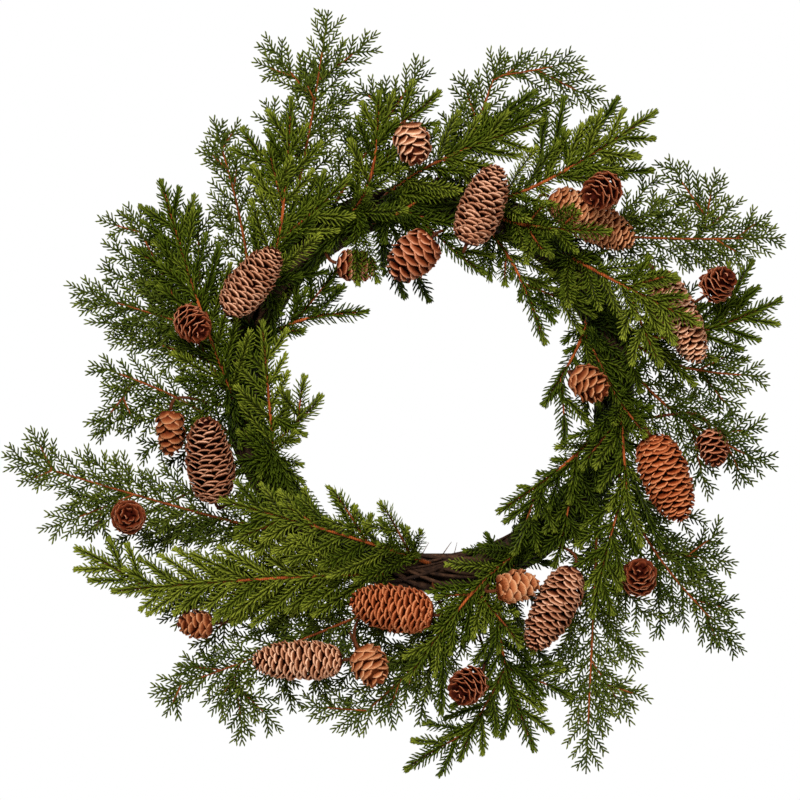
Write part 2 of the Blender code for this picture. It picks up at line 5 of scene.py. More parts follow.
import bpy
import numpy as np
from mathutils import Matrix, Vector
from mathutils.bvhtree import BVHTree
from mathutils.geometry import intersect_point_line


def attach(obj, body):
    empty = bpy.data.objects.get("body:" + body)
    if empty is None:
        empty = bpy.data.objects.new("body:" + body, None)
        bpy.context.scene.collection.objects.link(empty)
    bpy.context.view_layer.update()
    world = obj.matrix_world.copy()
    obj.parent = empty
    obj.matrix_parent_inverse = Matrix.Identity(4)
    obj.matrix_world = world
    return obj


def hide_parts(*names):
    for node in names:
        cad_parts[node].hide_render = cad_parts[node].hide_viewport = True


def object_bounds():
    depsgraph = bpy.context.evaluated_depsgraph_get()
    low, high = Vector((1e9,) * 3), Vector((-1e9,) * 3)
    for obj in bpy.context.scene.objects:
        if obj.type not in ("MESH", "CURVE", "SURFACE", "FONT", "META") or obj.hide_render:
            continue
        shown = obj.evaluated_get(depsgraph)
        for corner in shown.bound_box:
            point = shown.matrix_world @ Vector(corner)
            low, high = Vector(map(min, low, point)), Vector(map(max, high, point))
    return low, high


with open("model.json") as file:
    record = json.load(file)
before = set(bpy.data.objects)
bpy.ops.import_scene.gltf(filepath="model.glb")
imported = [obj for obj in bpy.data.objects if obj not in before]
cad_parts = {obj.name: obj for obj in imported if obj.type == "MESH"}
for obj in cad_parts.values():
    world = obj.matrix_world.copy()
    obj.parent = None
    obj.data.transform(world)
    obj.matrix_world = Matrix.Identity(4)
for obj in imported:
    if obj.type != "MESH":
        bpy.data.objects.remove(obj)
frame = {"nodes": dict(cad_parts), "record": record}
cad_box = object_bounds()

# The pine cone wreath with its vines, needles and cone scales at their real fineness. It hangs
# upright: +X is right, +Z is up and its face looks towards -Y. The origin is the hook's seat.
# Lengths are in mm until a mesh is made, and places are given as a clock angle (degrees clockwise
# from the top), a reach (from the ring's centre) and a depth (to the front).

# Grapevine ring
# The hoop that carries everything: a dark brown vine wound five times round a straight one, with
# thinner runners twisted over them and a few broken ends that stick out. It is dry wood with its
# bark on, and flat against the door at the back.
MM = 0.001
FULL_TURN = 2 * math.pi
FRONT = Vector((0, -1, 0))
FRONT_AXIS = np.array(FRONT)
RING_REACH = 145.0
HOOK_SEAT_REACH = 130.0
RING_TUBE = 14.0
VINE_LOBES = 5
VINE_LOBE_DEPTH = 2.0
VINE_TURNS = 3
WALL_BEHIND = 11.0
# Points to each round of a vine, and sides of its section
MAIN_VINE_STEPS, MAIN_VINE_SIDES = 96, 9
MIDDLE_VINE_SIDES = 8
RUNNER_STEPS, RUNNER_SIDES = 150, 5
MAIN_VINE_RADIUS = 4.4
MAIN_VINE_INSET = 0.8
MIDDLE_VINE_RADIUS = 7.0
RUNNERS = 20
RUNNER_RADIUS = (0.8, 2.0)
RUNNER_WINDINGS = (-4, -3, -2, 2, 3, 4, 5)
RUNNER_INSET = (0, 2.2)
# How much a runner swells and thins along its length, as a share of its radius
RUNNER_SWELL = 0.15
BROKEN_END_BEND = 0.12
# Clock angle, side of the ring's tube (0 outer edge, 90 front, 180 inner edge), length and radius
BROKEN_ENDS = (
    (176, 180, 16, 0.5), (183, 170, 12, 0.45), (172, 200, 11, 0.4), (187, 150, 9, 0.6),
    (201, 190, 10, 0.5), (300, 60, 12, 0.6), (262, 170, 9, 0.5), (28, 40, 11, 0.6),
)


class Finish:
    """A node material while it is put together."""

    def __init__(self, name, roughness, specular=0.5):
        self.material = bpy.data.materials.new(name)
        self.material.use_nodes = True
        self.tree = self.material.node_tree
        self.shader = self.tree.nodes["Principled BSDF"]
        self.shader.inputs["Roughness"].default_value = roughness
        self.shader.inputs["Specular IOR Level"].default_value = specular
        self.place = self.add("ShaderNodeTexCoord", {}).outputs["Object"]

    def add(self, kind, inputs, **settings):
        """Adds a node. An input that is given as a socket is linked, any other is set."""
        made = self.tree.nodes.new(kind)
        for name, value in settings.items():
            setattr(made, name, value)
        for name, value in inputs.items():
            if isinstance(value, bpy.types.NodeSocket):
                self.tree.links.new(value, made.inputs[name])
            else:
                made.inputs[name].default_value = value
        return made

    def noise(self, scale, detail=3.0, stretch=None):
        """Cloudy noise, scale in waves a metre, stretched along one direction if asked."""
        place = self.place
        if stretch:
            place = self.add("ShaderNodeMapping", {"Vector": place, "Scale": stretch}).outputs["Vector"]
        made = self.add("ShaderNodeTexNoise", {"Vector": place, "Scale": scale, "Detail": detail})
        return made.outputs["Fac"]

    def marks(self):
        """The three marks that the mesh carries: along the part, chance, and age with painted shade mixed
        in.
        """
        stored = self.add("ShaderNodeAttribute", {}, attribute_name="growth")
        return self.add("ShaderNodeSeparateColor", {"Color": stored.outputs["Color"]}).outputs

    def ramp(self, factor, stops):
        """Colours (red, green, blue) at places from 0 to 1 along a factor."""
        made = self.add("ShaderNodeValToRGB", {"Fac": factor})
        points = made.color_ramp.elements
        while len(points) < len(stops):
            points.new(1.0)
        for point, (place, colour) in zip(points, stops):
            point.position = place
            point.color = (*colour, 1)
        return made.outputs["Color"]

    def blend(self, factor, first, second, mode="MIX"):
        return self.add("ShaderNodeMixRGB", {"Fac": factor, "Color1": first, "Color2": second},
                        blend_type=mode).outputs["Color"]

    def sum(self, first, second, share):
        """The first number plus a share of the second, held between 0 and 1."""
        return self.add("ShaderNodeMath", {0: second, 1: share, 2: first}, operation="MULTIPLY_ADD",
                        use_clamp=True).outputs["Value"]

    def colour(self, socket):
        self.tree.links.new(socket, self.shader.inputs["Base Color"])

    def relief(self, height, depth):
        """Bumps of a depth in mm."""
        bump = self.add("ShaderNodeBump", {"Height": height, "Distance": depth * MM})
        self.tree.links.new(bump.outputs["Normal"], self.shader.inputs["Normal"])


class Shape:
    """The corners and faces of one piece, gathered in mm, with the marks its materials read."""

    def __init__(self):
        self.corners, self.faces, self.finishes, self.marks = [], [], [], []
        self.count = 0

    def add(self, corners, faces, finish, marks):
        """Adds corners (n, 3), faces that count from their first, and marks for all or each."""
        self.corners.append(corners)
        self.marks.append(np.broadcast_to(np.asarray(marks, float), (len(corners), 3)))
        for block in faces:
            self.faces += (np.asarray(block) + self.count).tolist()
            self.finishes += [finish] * len(block)
        self.count += len(corners)

    def make(self, name, finishes, node):
        """Turns the shape into a piece that stands for a node of the frame."""
        mesh = bpy.data.meshes.new(name)
        mesh.from_pydata((np.concatenate(self.corners) * MM).tolist(), [], self.faces)
        for finish in finishes:
            mesh.materials.append(finish.material)
        mesh.polygons.foreach_set("material_index", self.finishes)
        mesh.shade_smooth()
        marks = np.concatenate(self.marks)
        stored = mesh.attributes.new("growth", "FLOAT_COLOR", "POINT")
        stored.data.foreach_set("color", np.column_stack([marks, np.ones(len(marks))]).ravel())
        piece = bpy.data.objects.new(name, mesh)
        bpy.context.scene.collection.objects.link(piece)
        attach(piece, "root")
        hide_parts(node)


def unit(vectors):
    return vectors / np.maximum(np.linalg.norm(vectors, axis=-1, keepdims=True), 1e-9)


def tube_frames(points, loop=False):
    """Two directions square to the line of some points, at each of them, which don't spin."""
    if loop:
        headings = unit(np.roll(points, -1, 0) - np.roll(points, 1, 0))
    else:
        headings = unit(np.gradient(points, axis=0))
    across = np.empty_like(points)
    side = np.cross(headings[0], (0.2, 0.1, 1.0)) if abs(headings[0][1]) > 0.9 else FRONT_AXIS
    for i, heading in enumerate(headings):
        if loop:
            side = FRONT_AXIS
        side = unit(side - heading * (side @ heading))
        across[i] = side
    return across, np.cross(headings, across)


def add_tube(shape, points, radii, sides, finish, marks, loop=False):
    """Adds a round tube along some points, closed on itself or with closed ends."""
    points = np.asarray(points, float)
    across, second = tube_frames(points, loop)
    turns = FULL_TURN * np.arange(sides) / sides
    rim = across[:, None] * np.cos(turns)[None, :, None] + second[:, None] * np.sin(turns)[None, :, None]
    corners = points[:, None] + rim * np.broadcast_to(radii, len(points))[:, None, None]
    rows = len(points) if loop else len(points) - 1
    row, side = np.meshgrid(np.arange(rows), np.arange(sides), indexing="ij")
    after, beside = (row + 1) % len(points), (side + 1) % sides
    quads = np.stack([row * sides + side, row * sides + beside,
                      after * sides + beside, after * sides + side], -1).reshape(-1, 4)
    blocks = [quads]
    if not loop:
        blocks += [[list(range(sides))[::-1]], [[rows * sides + k for k in range(sides)]]]
    shape.add(corners.reshape(-1, 3), blocks, finish, marks)


def on_wreath(clock, reach, depth):
    """The point at a clock angle, a reach and a depth, in mm from the hook's seat."""
    turn = math.radians(clock)
    return Vector((reach * math.sin(turn), -depth, reach * math.cos(turn) - HOOK_SEAT_REACH))


def outwards(clock, side):
    """The direction out of the ring's tube at a clock angle, on one side of the tube."""
    turn, around = math.radians(clock), math.radians(side)
    away = Vector((math.sin(turn), 0, math.cos(turn)))
    return away * math.cos(around) + FRONT * math.sin(around)


def wound(turn, around, offset, radius):
    """Points of a vine that lies at an angle round the ring's tube, pressed flat at the wall."""
    reach = RING_REACH + offset * np.cos(around)
    back = np.minimum(-offset * np.sin(around), WALL_BEHIND - (1 + RUNNER_SWELL) * radius)
    return np.stack([reach * np.sin(turn), back, reach * np.cos(turn) - HOOK_SEAT_REACH], -1)


bark = Finish("grapevine_bark", 0.85, 0.15)
fibres = bark.noise(260, 5.0, stretch=(1.0, 3.0, 1.0))
bark.colour(bark.blend(
    bark.marks()["Green"],
    bark.ramp(fibres, ((0.3, (0.005, 0.002, 0.001)), (0.6, (0.022, 0.009, 0.004)),
                       (0.8, (0.060, 0.026, 0.012)))),
    bark.ramp(fibres, ((0.3, (0.03, 0.012, 0.006)), (0.7, (0.16, 0.075, 0.035))))))
bark.relief(bark.noise(900, 6.0), 0.5)

draw = np.random.default_rng(3)
ring_shape = Shape()
rounds = np.linspace(0, FULL_TURN * VINE_LOBES, MAIN_VINE_STEPS * VINE_LOBES, endpoint=False)
sway = 0.5 * np.sin(rounds * 2.4) + 0.4 * np.sin(rounds * 4.6 + 1)
main_offset = RING_TUBE + VINE_LOBE_DEPTH - MAIN_VINE_RADIUS - MAIN_VINE_INSET + 0.6 * sway
add_tube(ring_shape,
         wound(rounds, -rounds * VINE_TURNS / VINE_LOBES + 0.12 * np.sin(rounds * 3.2),
               main_offset, MAIN_VINE_RADIUS),
         MAIN_VINE_RADIUS * (1 + 0.08 * np.sin(rounds * 17.2)), MAIN_VINE_SIDES, 0, (0, 0.1, 0), loop=True)
turn = np.linspace(0, FULL_TURN, MAIN_VINE_STEPS, endpoint=False)
add_tube(ring_shape, wound(turn, 0 * turn, 0, MIDDLE_VINE_RADIUS), MIDDLE_VINE_RADIUS,
         MIDDLE_VINE_SIDES, 0, (0, 0, 0), loop=True)
turn = np.linspace(0, FULL_TURN, RUNNER_STEPS, endpoint=False)
for runner in range(RUNNERS):
    radius = draw.uniform(*RUNNER_RADIUS)
    winding = int(draw.choice(RUNNER_WINDINGS))
    phase, wave = draw.uniform(0, FULL_TURN, 2)
    around = phase + winding * turn + 0.35 * np.sin(3 * turn + wave)
    offset = RING_TUBE + VINE_LOBE_DEPTH - radius - draw.uniform(*RUNNER_INSET)
    offset = offset + 0.5 * np.sin(7 * turn + phase)
    add_tube(ring_shape, wound(turn, around, offset, radius),
             radius * (1 + RUNNER_SWELL * np.sin(11 * turn + wave)), RUNNER_SIDES, 0,
             (0, draw.uniform(0, 0.45), 0), loop=True)
share = np.linspace(0, 1, 5)
for clock, side, length, radius in BROKEN_ENDS:
    root = np.array(on_wreath(clock, RING_REACH, 0) + outwards(clock, side) * (RING_TUBE - 1))
    way = unit(np.array(outwards(clock, side)) + draw.uniform(-0.7, 0.7, 3))
    bend = unit(draw.uniform(-1, 1, 3)) * BROKEN_END_BEND * length
    add_tube(ring_shape, root + way * length * share[:, None] + bend * share[:, None] ** 2,
             radius * np.linspace(1, 0.35, len(share)), RUNNER_SIDES, 0, (0, draw.uniform(0.5, 1), 0))
ring_shape.make("grapevine_ring", [bark], "vine_ring")

# Long cones
# Nine long cones and one of middle length, of woody scales that overlap in spirals round a core.
# The scales are dry and open a little, with lighter weathered lips; painted shade darkens them inside.
# Each cone is wired to the ring by a stalk, which is wrapped in brown paper as the stems of the picks are.
STALK_RADIUS = 1.1
STALK_SPREAD = 1.25
STALK_POINTS = 16
GOLDEN_TURN = math.radians(137.5078)
# How far in from its ends a cone's body starts, as a share of its radius
BODY_END = 0.7
# The cone's outline: how square its ends are, and how it narrows from base to tip
CONE_SQUARENESS = 2.6
CONE_SHOULDER = 1.03
CONE_TAPER = 0.2
CORE_SIDES = 10
# Points of a scale's mesh: how many across it, and how far out its rows lie from root to lip
SCALE_COLUMNS = 5
SCALE_ROWS = (0, 0.5, 0.82, 1)
# Painted shade: the face of a scale that looks inwards takes the colour at this share of the way out, so it
# reads darker
INNER_FACE_SHADE = 0.75
# The room that is kept free round the hook, and between a root end and the ring
HOOK_ROOM = 15.0
SEAT_GAP = 0.35
SEAT_STEP = 0.05
SEAT_STATIONS = (0, 2, 4, 7)
# How the stalks' routes are shaped and tried out: turns and sides in degrees, paces in mm, the
# rest as shares
STALK_TURNS = (0, -5, 5, -10, 10, -16, 16, -24, 24)
STALK_SIDES = (60, 30, 90, 0, 120, 150)
STALK_HOLD = 0.4
STALK_RODS = 6
ENOUGH_ROOM = 2.0
LENGTH_COST = 0.01
TEST_PACE = 7.0
ROD_TESTS = 6
BEFORE_BASE = (0.3, 0.45, 0.6)
# Name, clock and reach of the middle, clock angle the tip points to, length, diameter,
# lean of the tip towards the viewer and depth of the middle
LARGE_CONES = (
    ("cone_large_01", 301, 160, 39, 64, 35, 10, 46),
    ("cone_large_02", 252, 179, 353, 70, 39, 20, 44),
    ("cone_large_03", 16, 147, 22, 66, 37, 8, 50),
    ("cone_large_04", 74, 199, 153, 80, 35, 0, 42),
    ("cone_large_05", 111, 195, 159, 71, 40, 5, 48),
    ("cone_large_06", 151, 195, 208, 72, 36, 8, 48),
    ("cone_large_07", 190, 172, 280, 66, 39, 5, 48),
    ("cone_large_08", 206, 234, 270, 71, 33, 5, 42),
    ("cone_large_09", 44, 180, 119, 76, 36, 0, 40),
    ("cone_large_10", 352, 102, 225, 44, 37, 0, 34),
)
SMALL_CONES = (
    ("cone_small_01", 285, 189, 130, 33, 29, 45, 48),
    ("cone_small_02", 260, 204, 180, 36, 25, 0, 34),
    ("cone_small_03", 247, 253, 30, 24, 28, 80, 44),
    ("cone_small_04", 225, 258, 270, 28, 24, 10, 34),
    ("cone_small_05", 192, 220, 145, 32, 30, 20, 48),
    ("cone_small_06", 173, 232, 230, 32, 30, 45, 50),
    ("cone_small_07", 156, 167, 80, 34, 28, -10, 56),
    ("cone_small_08", 132, 217, 0, 30, 29, 60, 46),
    ("cone_small_09", 102, 224, 170, 30, 26, 20, 40),
    ("cone_small_10", 70, 237, 45, 30, 28, 45, 44),
    ("cone_small_11", 89, 124, 120, 32, 29, 20, 42),
    ("cone_small_12", 41, 198, 235, 33, 30, 45, 78),
    ("cone_small_13", 356, 187, 160, 32, 30, 20, 54),
    ("cone_small_14", 329, 110, 100, 32, 27, 0, 30),
)


def bezier(points, fraction):
    """A point on the cubic curve with these four control points."""
    rest = 1 - fraction
    weights = (rest ** 3, 3 * rest ** 2 * fraction, 3 * rest * fraction ** 2, fraction ** 3)
    return sum((point * weight for point, weight in zip(points, weights)), Vector())


class Route:
    """A smooth curve that is read by the length along it."""

    SAMPLES = 48

    def __init__(self, controls):
        self.points = [bezier(controls, i / self.SAMPLES) for i in range(self.SAMPLES + 1)]
        self.lengths = [0.0]
        for before, after in zip(self.points, self.points[1:]):
            self.lengths.append(self.lengths[-1] + (after - before).length)
        self.length = self.lengths[-1]

    def at(self, distance):
        distance = min(max(distance, 0.0), self.length)
        i = min(int(np.searchsorted(self.lengths, distance, side="right")), self.SAMPLES) - 1
        span = self.lengths[i + 1] - self.lengths[i]
        return self.points[i].lerp(self.points[i + 1], (distance - self.lengths[i]) / span)

    def heading(self, distance):
        return (self.at(distance + 1.0) - self.at(distance - 1.0)).normalized()

    def samples(self, count):
        return np.array([self.at(self.length * i / (count - 1)) for i in range(count)])


class Rods:
    """All the placed stems, stalks and cone bodies as rods, to keep pieces apart."""

    def __init__(self):
        self.starts, self.ends, self.radii, self.pieces = [], [], [], []
        self.table = None

    def add(self, start, end, radius, piece):
        self.starts.append(tuple(start))
        self.ends.append(tuple(end))
        self.radii.append(radius)
        self.pieces.append(piece)
        self.table = None

    def gap(self, start, end, radius, left_out=""):
        """The least gap between a new rod and the placed rods, those of one piece left out."""
        if self.table is None:
            self.table = [np.array(column) for column in (self.starts, self.ends, self.radii, self.pieces)]
        starts, ends, radii, pieces = self.table
        kept = pieces != left_out
        if not kept.any():
            return math.inf
        first, first_run = np.array(start), np.array(end) - np.array(start)
        others = starts[kept]
        other_runs = ends[kept] - others
        between = first - others
        square = max(float(first_run @ first_run), 1e-9)
        other_squares = np.maximum((other_runs ** 2).sum(1), 1e-9)
        common = other_runs @ first_run
        lead, other_lead = between @ first_run, (between * other_runs).sum(1)
        # The shares of the new rod and of the other at which they come nearest to each other
        share = np.clip((common * other_lead - lead * other_squares)
                        / np.maximum(square * other_squares - common * common, 1e-9), 0, 1)
        other_share = np.clip((common * share + other_lead) / other_squares, 0, 1)
        share = np.clip((common * other_share - lead) / square, 0, 1)
        apart = between + share[:, None] * first_run - other_share[:, None] * other_runs
        return float((np.sqrt((apart ** 2).sum(1)) - radii[kept]).min()) - radius


def fixed_gap(start, end, radius):
    """The gap between a rod and the ring, the wall and the room kept for the hook."""
    least = math.inf
    for i in range(ROD_TESTS + 1):
        point = start.lerp(end, i / ROD_TESTS)
        reach = math.hypot(point.x, point.z + HOOK_SEAT_REACH)
        ring = math.hypot(reach - RING_REACH, point.y) - RING_TUBE - VINE_LOBE_DEPTH
        hook = math.dist(point, (0, 0, -HOOK_ROOM / 2)) - HOOK_ROOM
        least = min(least, ring, hook, WALL_BEHIND - point.y)
    return least - radius


def facing_frame(heading):
    """Two directions square to a heading, the first as near to the viewer as it can be."""
    first = (FRONT - heading * FRONT.dot(heading)).normalized()
    return first, heading.cross(first)


def section_offsets(heading, radius):
    """Where the three corners of a root end's section lie round its middle."""
    first, second = facing_frame(heading)
    angles = [math.radians(60 + 120 * i) for i in range(3)]
    return [(first * math.cos(angle) + second * math.sin(angle)) * radius for angle in angles]


def ring_seat(ring_tree, clock, side, heading, radius):
    """The place where a stem's or stalk's root end sits just clear of the ring's surface."""
    out = outwards(clock, side)
    above = on_wreath(clock, RING_REACH, 0) + out * 2 * RING_TUBE
    seat = ring_tree.ray_cast(above * MM, -out)[0] / MM
    corners = section_offsets(heading, radius)
    rim = corners + [(corners[i] + corners[i - 1]) / 2 for i in range(3)]
    tested = [offset + heading * ahead for offset in rim for ahead in SEAT_STATIONS]
    while True:
        gaps = []
        for offset in tested:
            surface, normal = ring_tree.find_nearest((seat + offset) * MM)[:2]
            gaps.append((seat + offset - surface / MM).dot(normal))
        if min(gaps) >= SEAT_GAP:
            return seat
        seat += out * SEAT_STEP


def cone_profile(share):
    """The cone's radius at a share of its length, as a share of its widest radius."""
    rounded = np.maximum(0.0, 1 - np.abs(2 * share - 1) ** CONE_SQUARENESS) ** 0.5
    return rounded * (CONE_SHOULDER - CONE_TAPER * share)


class Cone:
    """Where one cone and its stalk lie."""

    def __init__(self, plan):
        self.name, clock, reach, points_to, self.length, across, lean, depth = plan
        self.radius = across / 2
        turn, tilt = math.radians(points_to), math.radians(lean)
        flat = Vector((math.sin(turn), 0, math.cos(turn)))
        self.axis = flat * math.cos(tilt) + FRONT * math.sin(tilt)
        self.base = on_wreath(clock, reach, depth) - self.axis * self.length / 2

    def body(self):
        """The rod that the cone's body fills."""
        end_room = min(BODY_END * self.radius, self.length / 2)
        return self.base + self.axis * end_room, self.base + self.axis * (self.length - end_room)

    def clear_of_body(self, place):
        """How far a place lies outside the cone's own body."""
        start, end = self.body()
        nearest = intersect_point_line(place, start, end)
        share = min(max(nearest[1], 0.0), 1.0)
        return (place - start.lerp(end, share)).length - self.radius - STALK_RADIUS

    def stalk_choices(self, ring_tree):
        """Stalk routes from the ring to the cone's base, the nearest seats first."""
        clock = math.degrees(math.atan2(self.base.x, self.base.z + HOOK_SEAT_REACH))
        for turn in STALK_TURNS:
            for side in STALK_SIDES:
                out = outwards(clock + turn, side)
                seat = ring_seat(ring_tree, clock + turn, side, out, STALK_RADIUS)
                hold = (self.base - seat).length * STALK_HOLD
                behind = self.base - self.axis * hold
                yield Route((seat, seat + out * hold, behind, self.base))


def route_gap(rods, route, radius, piece, free_start, fork_room=0.0):
    """The least gap along a route, with its own piece left out near the fork it grows from."""
    count = max(2, math.ceil(route.length / TEST_PACE))
    least = math.inf
    for i in range(count):
        start, end = route.at(route.length * i / count), route.at(route.length * (i + 1) / count)
        near_fork = route.length * i / count < fork_room
        least = min(least, rods.gap(start, end, radius, piece if near_fork else ""))
        if route.length * i / count >= free_start:
            least = min(least, fixed_gap(start, end, radius))
    return least


def place_cones(rods, ring_tree):
    """Puts the cones down first, and finds each a stalk that misses the others."""
    cones = [Cone(plan) for plan in LARGE_CONES + SMALL_CONES]
    for cone in cones:
        rods.add(*cone.body(), cone.radius, cone.name)
    for cone in cones:
        best_score = -math.inf
        for route in cone.stalk_choices(ring_tree):
            others = route_gap(rods, route, STALK_RADIUS, cone.name, RING_TUBE / 2, route.length)
            own = min(cone.clear_of_body(route.at(route.length * share)) for share in BEFORE_BASE)
            score = min(others, own, ENOUGH_ROOM) - route.length * LENGTH_COST
            if score > best_score:
                best_score, cone.stalk = score, route
        for i in range(STALK_RODS):
            start, end = (cone.stalk.at(cone.stalk.length * (i + k) / STALK_RODS) for k in (0, 1))
            rods.add(start, end, STALK_RADIUS, cone.name)
    return cones


def scale_finish(name, gap, body, lip, edge):
    """Woody scales: painted shade towards the root, streaked over the body, lighter at the lip, and lightest
    at its edge, which is partly a painted highlight.
    """
    finish = Finish(name, 0.7, 0.06)
    along, chance, _ = finish.marks()
    patches = finish.noise(160, 4.0)
    streaks = finish.noise(1100, 3.0)
    place = finish.sum(along, finish.sum(patches, streaks, -0.4), 0.12)
    place = finish.sum(place, chance, -0.08)
    # Painted shade: the first colour darkens each scale towards its root, where the scales above shade it.
    # The last, at the lip's edge, is partly a painted highlight.
    colour = finish.ramp(place, ((0.52, gap), (0.77, body), (0.90, lip), (0.99, edge)))
    wear = finish.ramp(streaks, ((0.35, (0.48, 0.40, 0.36)), (0.65, (1.0, 1.0, 1.0))))
    finish.colour(finish.blend(finish.sum(patches, chance, 0.5), colour, wear, "MULTIPLY"))
    finish.relief(streaks, 0.25)
    return finish


def add_scale(shape, cone, look, share, turn, size, wobble):
    """Adds one scale: a bent spoon of wood from the cone's core out to its lip."""
    first, second = (np.array(side) for side in facing_frame(cone.axis))
    axis, base = np.array(cone.axis), np.array(cone.base)
    across = np.linspace(-1, 1, SCALE_COLUMNS)[None, :]
    out = np.array(SCALE_ROWS)[:, None]
    radius = cone.radius * float(cone_profile(share))
    reach = radius * (look["root"] * (1 - out) ** 2 + 2 * look["swell"] * out * (1 - out)
                      + (1 + look["flare"] * wobble) * out ** 2)
    rise = look["rise"] * cone.radius * size
    lift = cone.length * share - rise * (1 - out) ** (1 + look["hook"])
    half = look["half_width"] * cone.radius * size
    spread = half * (0.40 + 0.60 * np.sin(np.minimum(out / 0.9, 1) * math.pi / 2))
    rounding = look["rounding"] * rise * np.abs(across) ** 3 * out ** 2
    reach = reach + look["wave"] * np.sin(across * 4.2 + turn) * out ** 2
    angle = turn + across * spread / max(radius, 0.45 * cone.radius)
    height = np.clip(lift - rounding, 0.3, cone.length - 0.2) + 0 * angle
    reach = reach - look["cup"] * rise * np.abs(across) ** 2 * out
    side = first * np.cos(angle)[..., None] + second * np.sin(angle)[..., None]
    outer = base + axis * height[..., None] + side * np.maximum(reach, 0.3)[..., None]
    normal = unit(np.cross(np.gradient(outer, axis=1), np.gradient(outer, axis=0)))
    thickness = look["thickness"] * (0.5 + 0.5 * out ** 2) + 0 * angle
    inner = outer - normal * thickness[..., None]
    rows, columns = outer.shape[:2]
    grid = np.arange(rows * columns).reshape(rows, columns)
    top = np.stack([grid[:-1, :-1], grid[:-1, 1:], grid[1:, 1:], grid[1:, :-1]], -1).reshape(-1, 4)
    under = top[:, ::-1] + rows * columns
    rim = np.concatenate([grid[0, :], grid[1:, -1], grid[-1, -2::-1], grid[-2:0:-1, 0]])
    after = np.roll(rim, -1)
    edge = np.stack([after, rim, rim + rows * columns, after + rows * columns], -1)
    marks = np.zeros((2, rows, columns, 3))
    # Painted shade: the inner face reads nearer the root, and darker, than the outer one
    marks[0, ..., 0], marks[1, ..., 0] = out, out * INNER_FACE_SHADE
    marks[..., 1] = wobble * 0.5 + 0.5
    shape.add(np.concatenate([outer.reshape(-1, 3), inner.reshape(-1, 3)]), [top, under, edge],
              0, marks.reshape(-1, 3))


def add_cone(cone, look, finish, piece_name, draw):
    """Adds one cone: its core, its scales in a spiral and its stalk."""
    shape = Shape()
    for i in range(look["scales"]):
        climb = (i + 0.5) / look["scales"]
        share = look["first"] + (0.998 - look["first"]) * climb ** look["spacing"]
        size = max(float(cone_profile(share)), 0.35) ** 0.7
        stray = look["stray"]
        add_scale(shape, cone, look, share + draw.uniform(-0.08, 0.08) * stray,
                  i * GOLDEN_TURN + draw.uniform(-1, 1) * stray, size * draw.uniform(1 - stray, 1 + stray),
                  draw.uniform(-1, 1))
    # The core takes the scales' root colour, their painted shade
    core = np.linspace(0.02, 0.97, 9)
    add_tube(shape, np.array([cone.base + cone.axis * cone.length * float(share) for share in core]),
             cone.radius * np.maximum(cone_profile(core), 0.1) * look["core"] * (1 - 0.6 * core ** 4),
             CORE_SIDES, 0, (0, 0.5, 0))
    add_tube(shape, cone.stalk.samples(STALK_POINTS),
             STALK_RADIUS * np.linspace(1.0, STALK_SPREAD, STALK_POINTS), 6, 1, (0.5, 0.1, 0))
    shape.make(piece_name, [finish, paper], cone.name)


paper = Finish("brown_paper_wrap", 0.75, 0.1)
wraps = paper.add("ShaderNodeTexWave", {"Vector": paper.place, "Scale": 210.0, "Distortion": 6.0,
                                        "Detail": 3.0}).outputs["Fac"]
worn_wraps = paper.sum(paper.noise(120, 4.0), wraps, 0.35)
paper.colour(paper.blend(
    paper.marks()["Green"],
    paper.ramp(worn_wraps, ((0.4, (0.018, 0.005, 0.0015)), (0.9, (0.070, 0.020, 0.006)))),
    paper.ramp(worn_wraps, ((0.45, (0.12, 0.022, 0.004)), (0.95, (0.44, 0.10, 0.018))))))
paper.relief(wraps, 0.2)

# How many scales a cone has, where the first stands (a share of its length) and how the others
# crowd towards the tip. Then the form of one scale. Shares of the cone's radius: root, swell, flare
# (how far out it starts, bellies and ends), rise, half_width and core. Shares of its rise: rounding
# of its lip, and cup. In mm: wave and thickness. Hook bends its lip, and stray is how far chance goes
LONG_CONE = dict(scales=176, first=0.05, spacing=1.0, root=0.35, swell=0.70, flare=0.06, rise=0.44,
                 hook=-0.1, half_width=0.36, rounding=0.28, wave=0.4, cup=0.02, thickness=0.9,
                 core=0.52, stray=0.14)
MIDDLE_CONE = {**LONG_CONE, "scales": 58, "rise": 0.60, "half_width": 0.50, "rounding": 0.34, "core": 0.6}
# In each set the first colour is the painted shade at the scales' roots, and the last is the lip's edge with
# a painted highlight in it
tan_scales = scale_finish("weathered_tan_scales", (0.032, 0.0035, 0.0007), (0.16, 0.044, 0.016),
                          (0.38, 0.155, 0.076), (0.70, 0.40, 0.26))
orange_scales = scale_finish("orange_brown_scales", (0.050, 0.0045, 0.0006), (0.22, 0.038, 0.008),
                             (0.40, 0.100, 0.030), (0.62, 0.25, 0.11))
pale_scales = scale_finish("pale_tan_scales", (0.060, 0.009, 0.0020), (0.27, 0.086, 0.034),
                           (0.52, 0.24, 0.125), (0.80, 0.51, 0.34))
red_scales = scale_finish("red_brown_scales", (0.042, 0.0040, 0.0006), (0.16, 0.031, 0.008),
                          (0.34, 0.105, 0.042), (0.62, 0.30, 0.18))
wood_scales = scale_finish("orange_tan_scales", (0.16, 0.032, 0.006), (0.34, 0.104, 0.036),
                           (0.47, 0.185, 0.075), (0.64, 0.34, 0.18))
# The long cones that aren't weathered to tan
LONG_CONE_FINISHES = {"04": pale_scales, "05": orange_scales, "07": orange_scales, "08": pale_scales,
                      "09": wood_scales, "10": red_scales}

ring_mesh = frame["nodes"]["vine_ring"].data
ring_tree = BVHTree.FromPolygons([vertex.co for vertex in ring_mesh.vertices],
                                 [tuple(face.vertices) for face in ring_mesh.polygons])
rods = Rods()
cones = place_cones(rods, ring_tree)
draw = np.random.default_rng(11)
for cone in cones[:len(LARGE_CONES)]:
    number = cone.name[-2:]
    add_cone(cone, MIDDLE_CONE if number == "10" else LONG_CONE,
             LONG_CONE_FINISHES.get(number, tan_scales), "long_cone_" + number, draw)

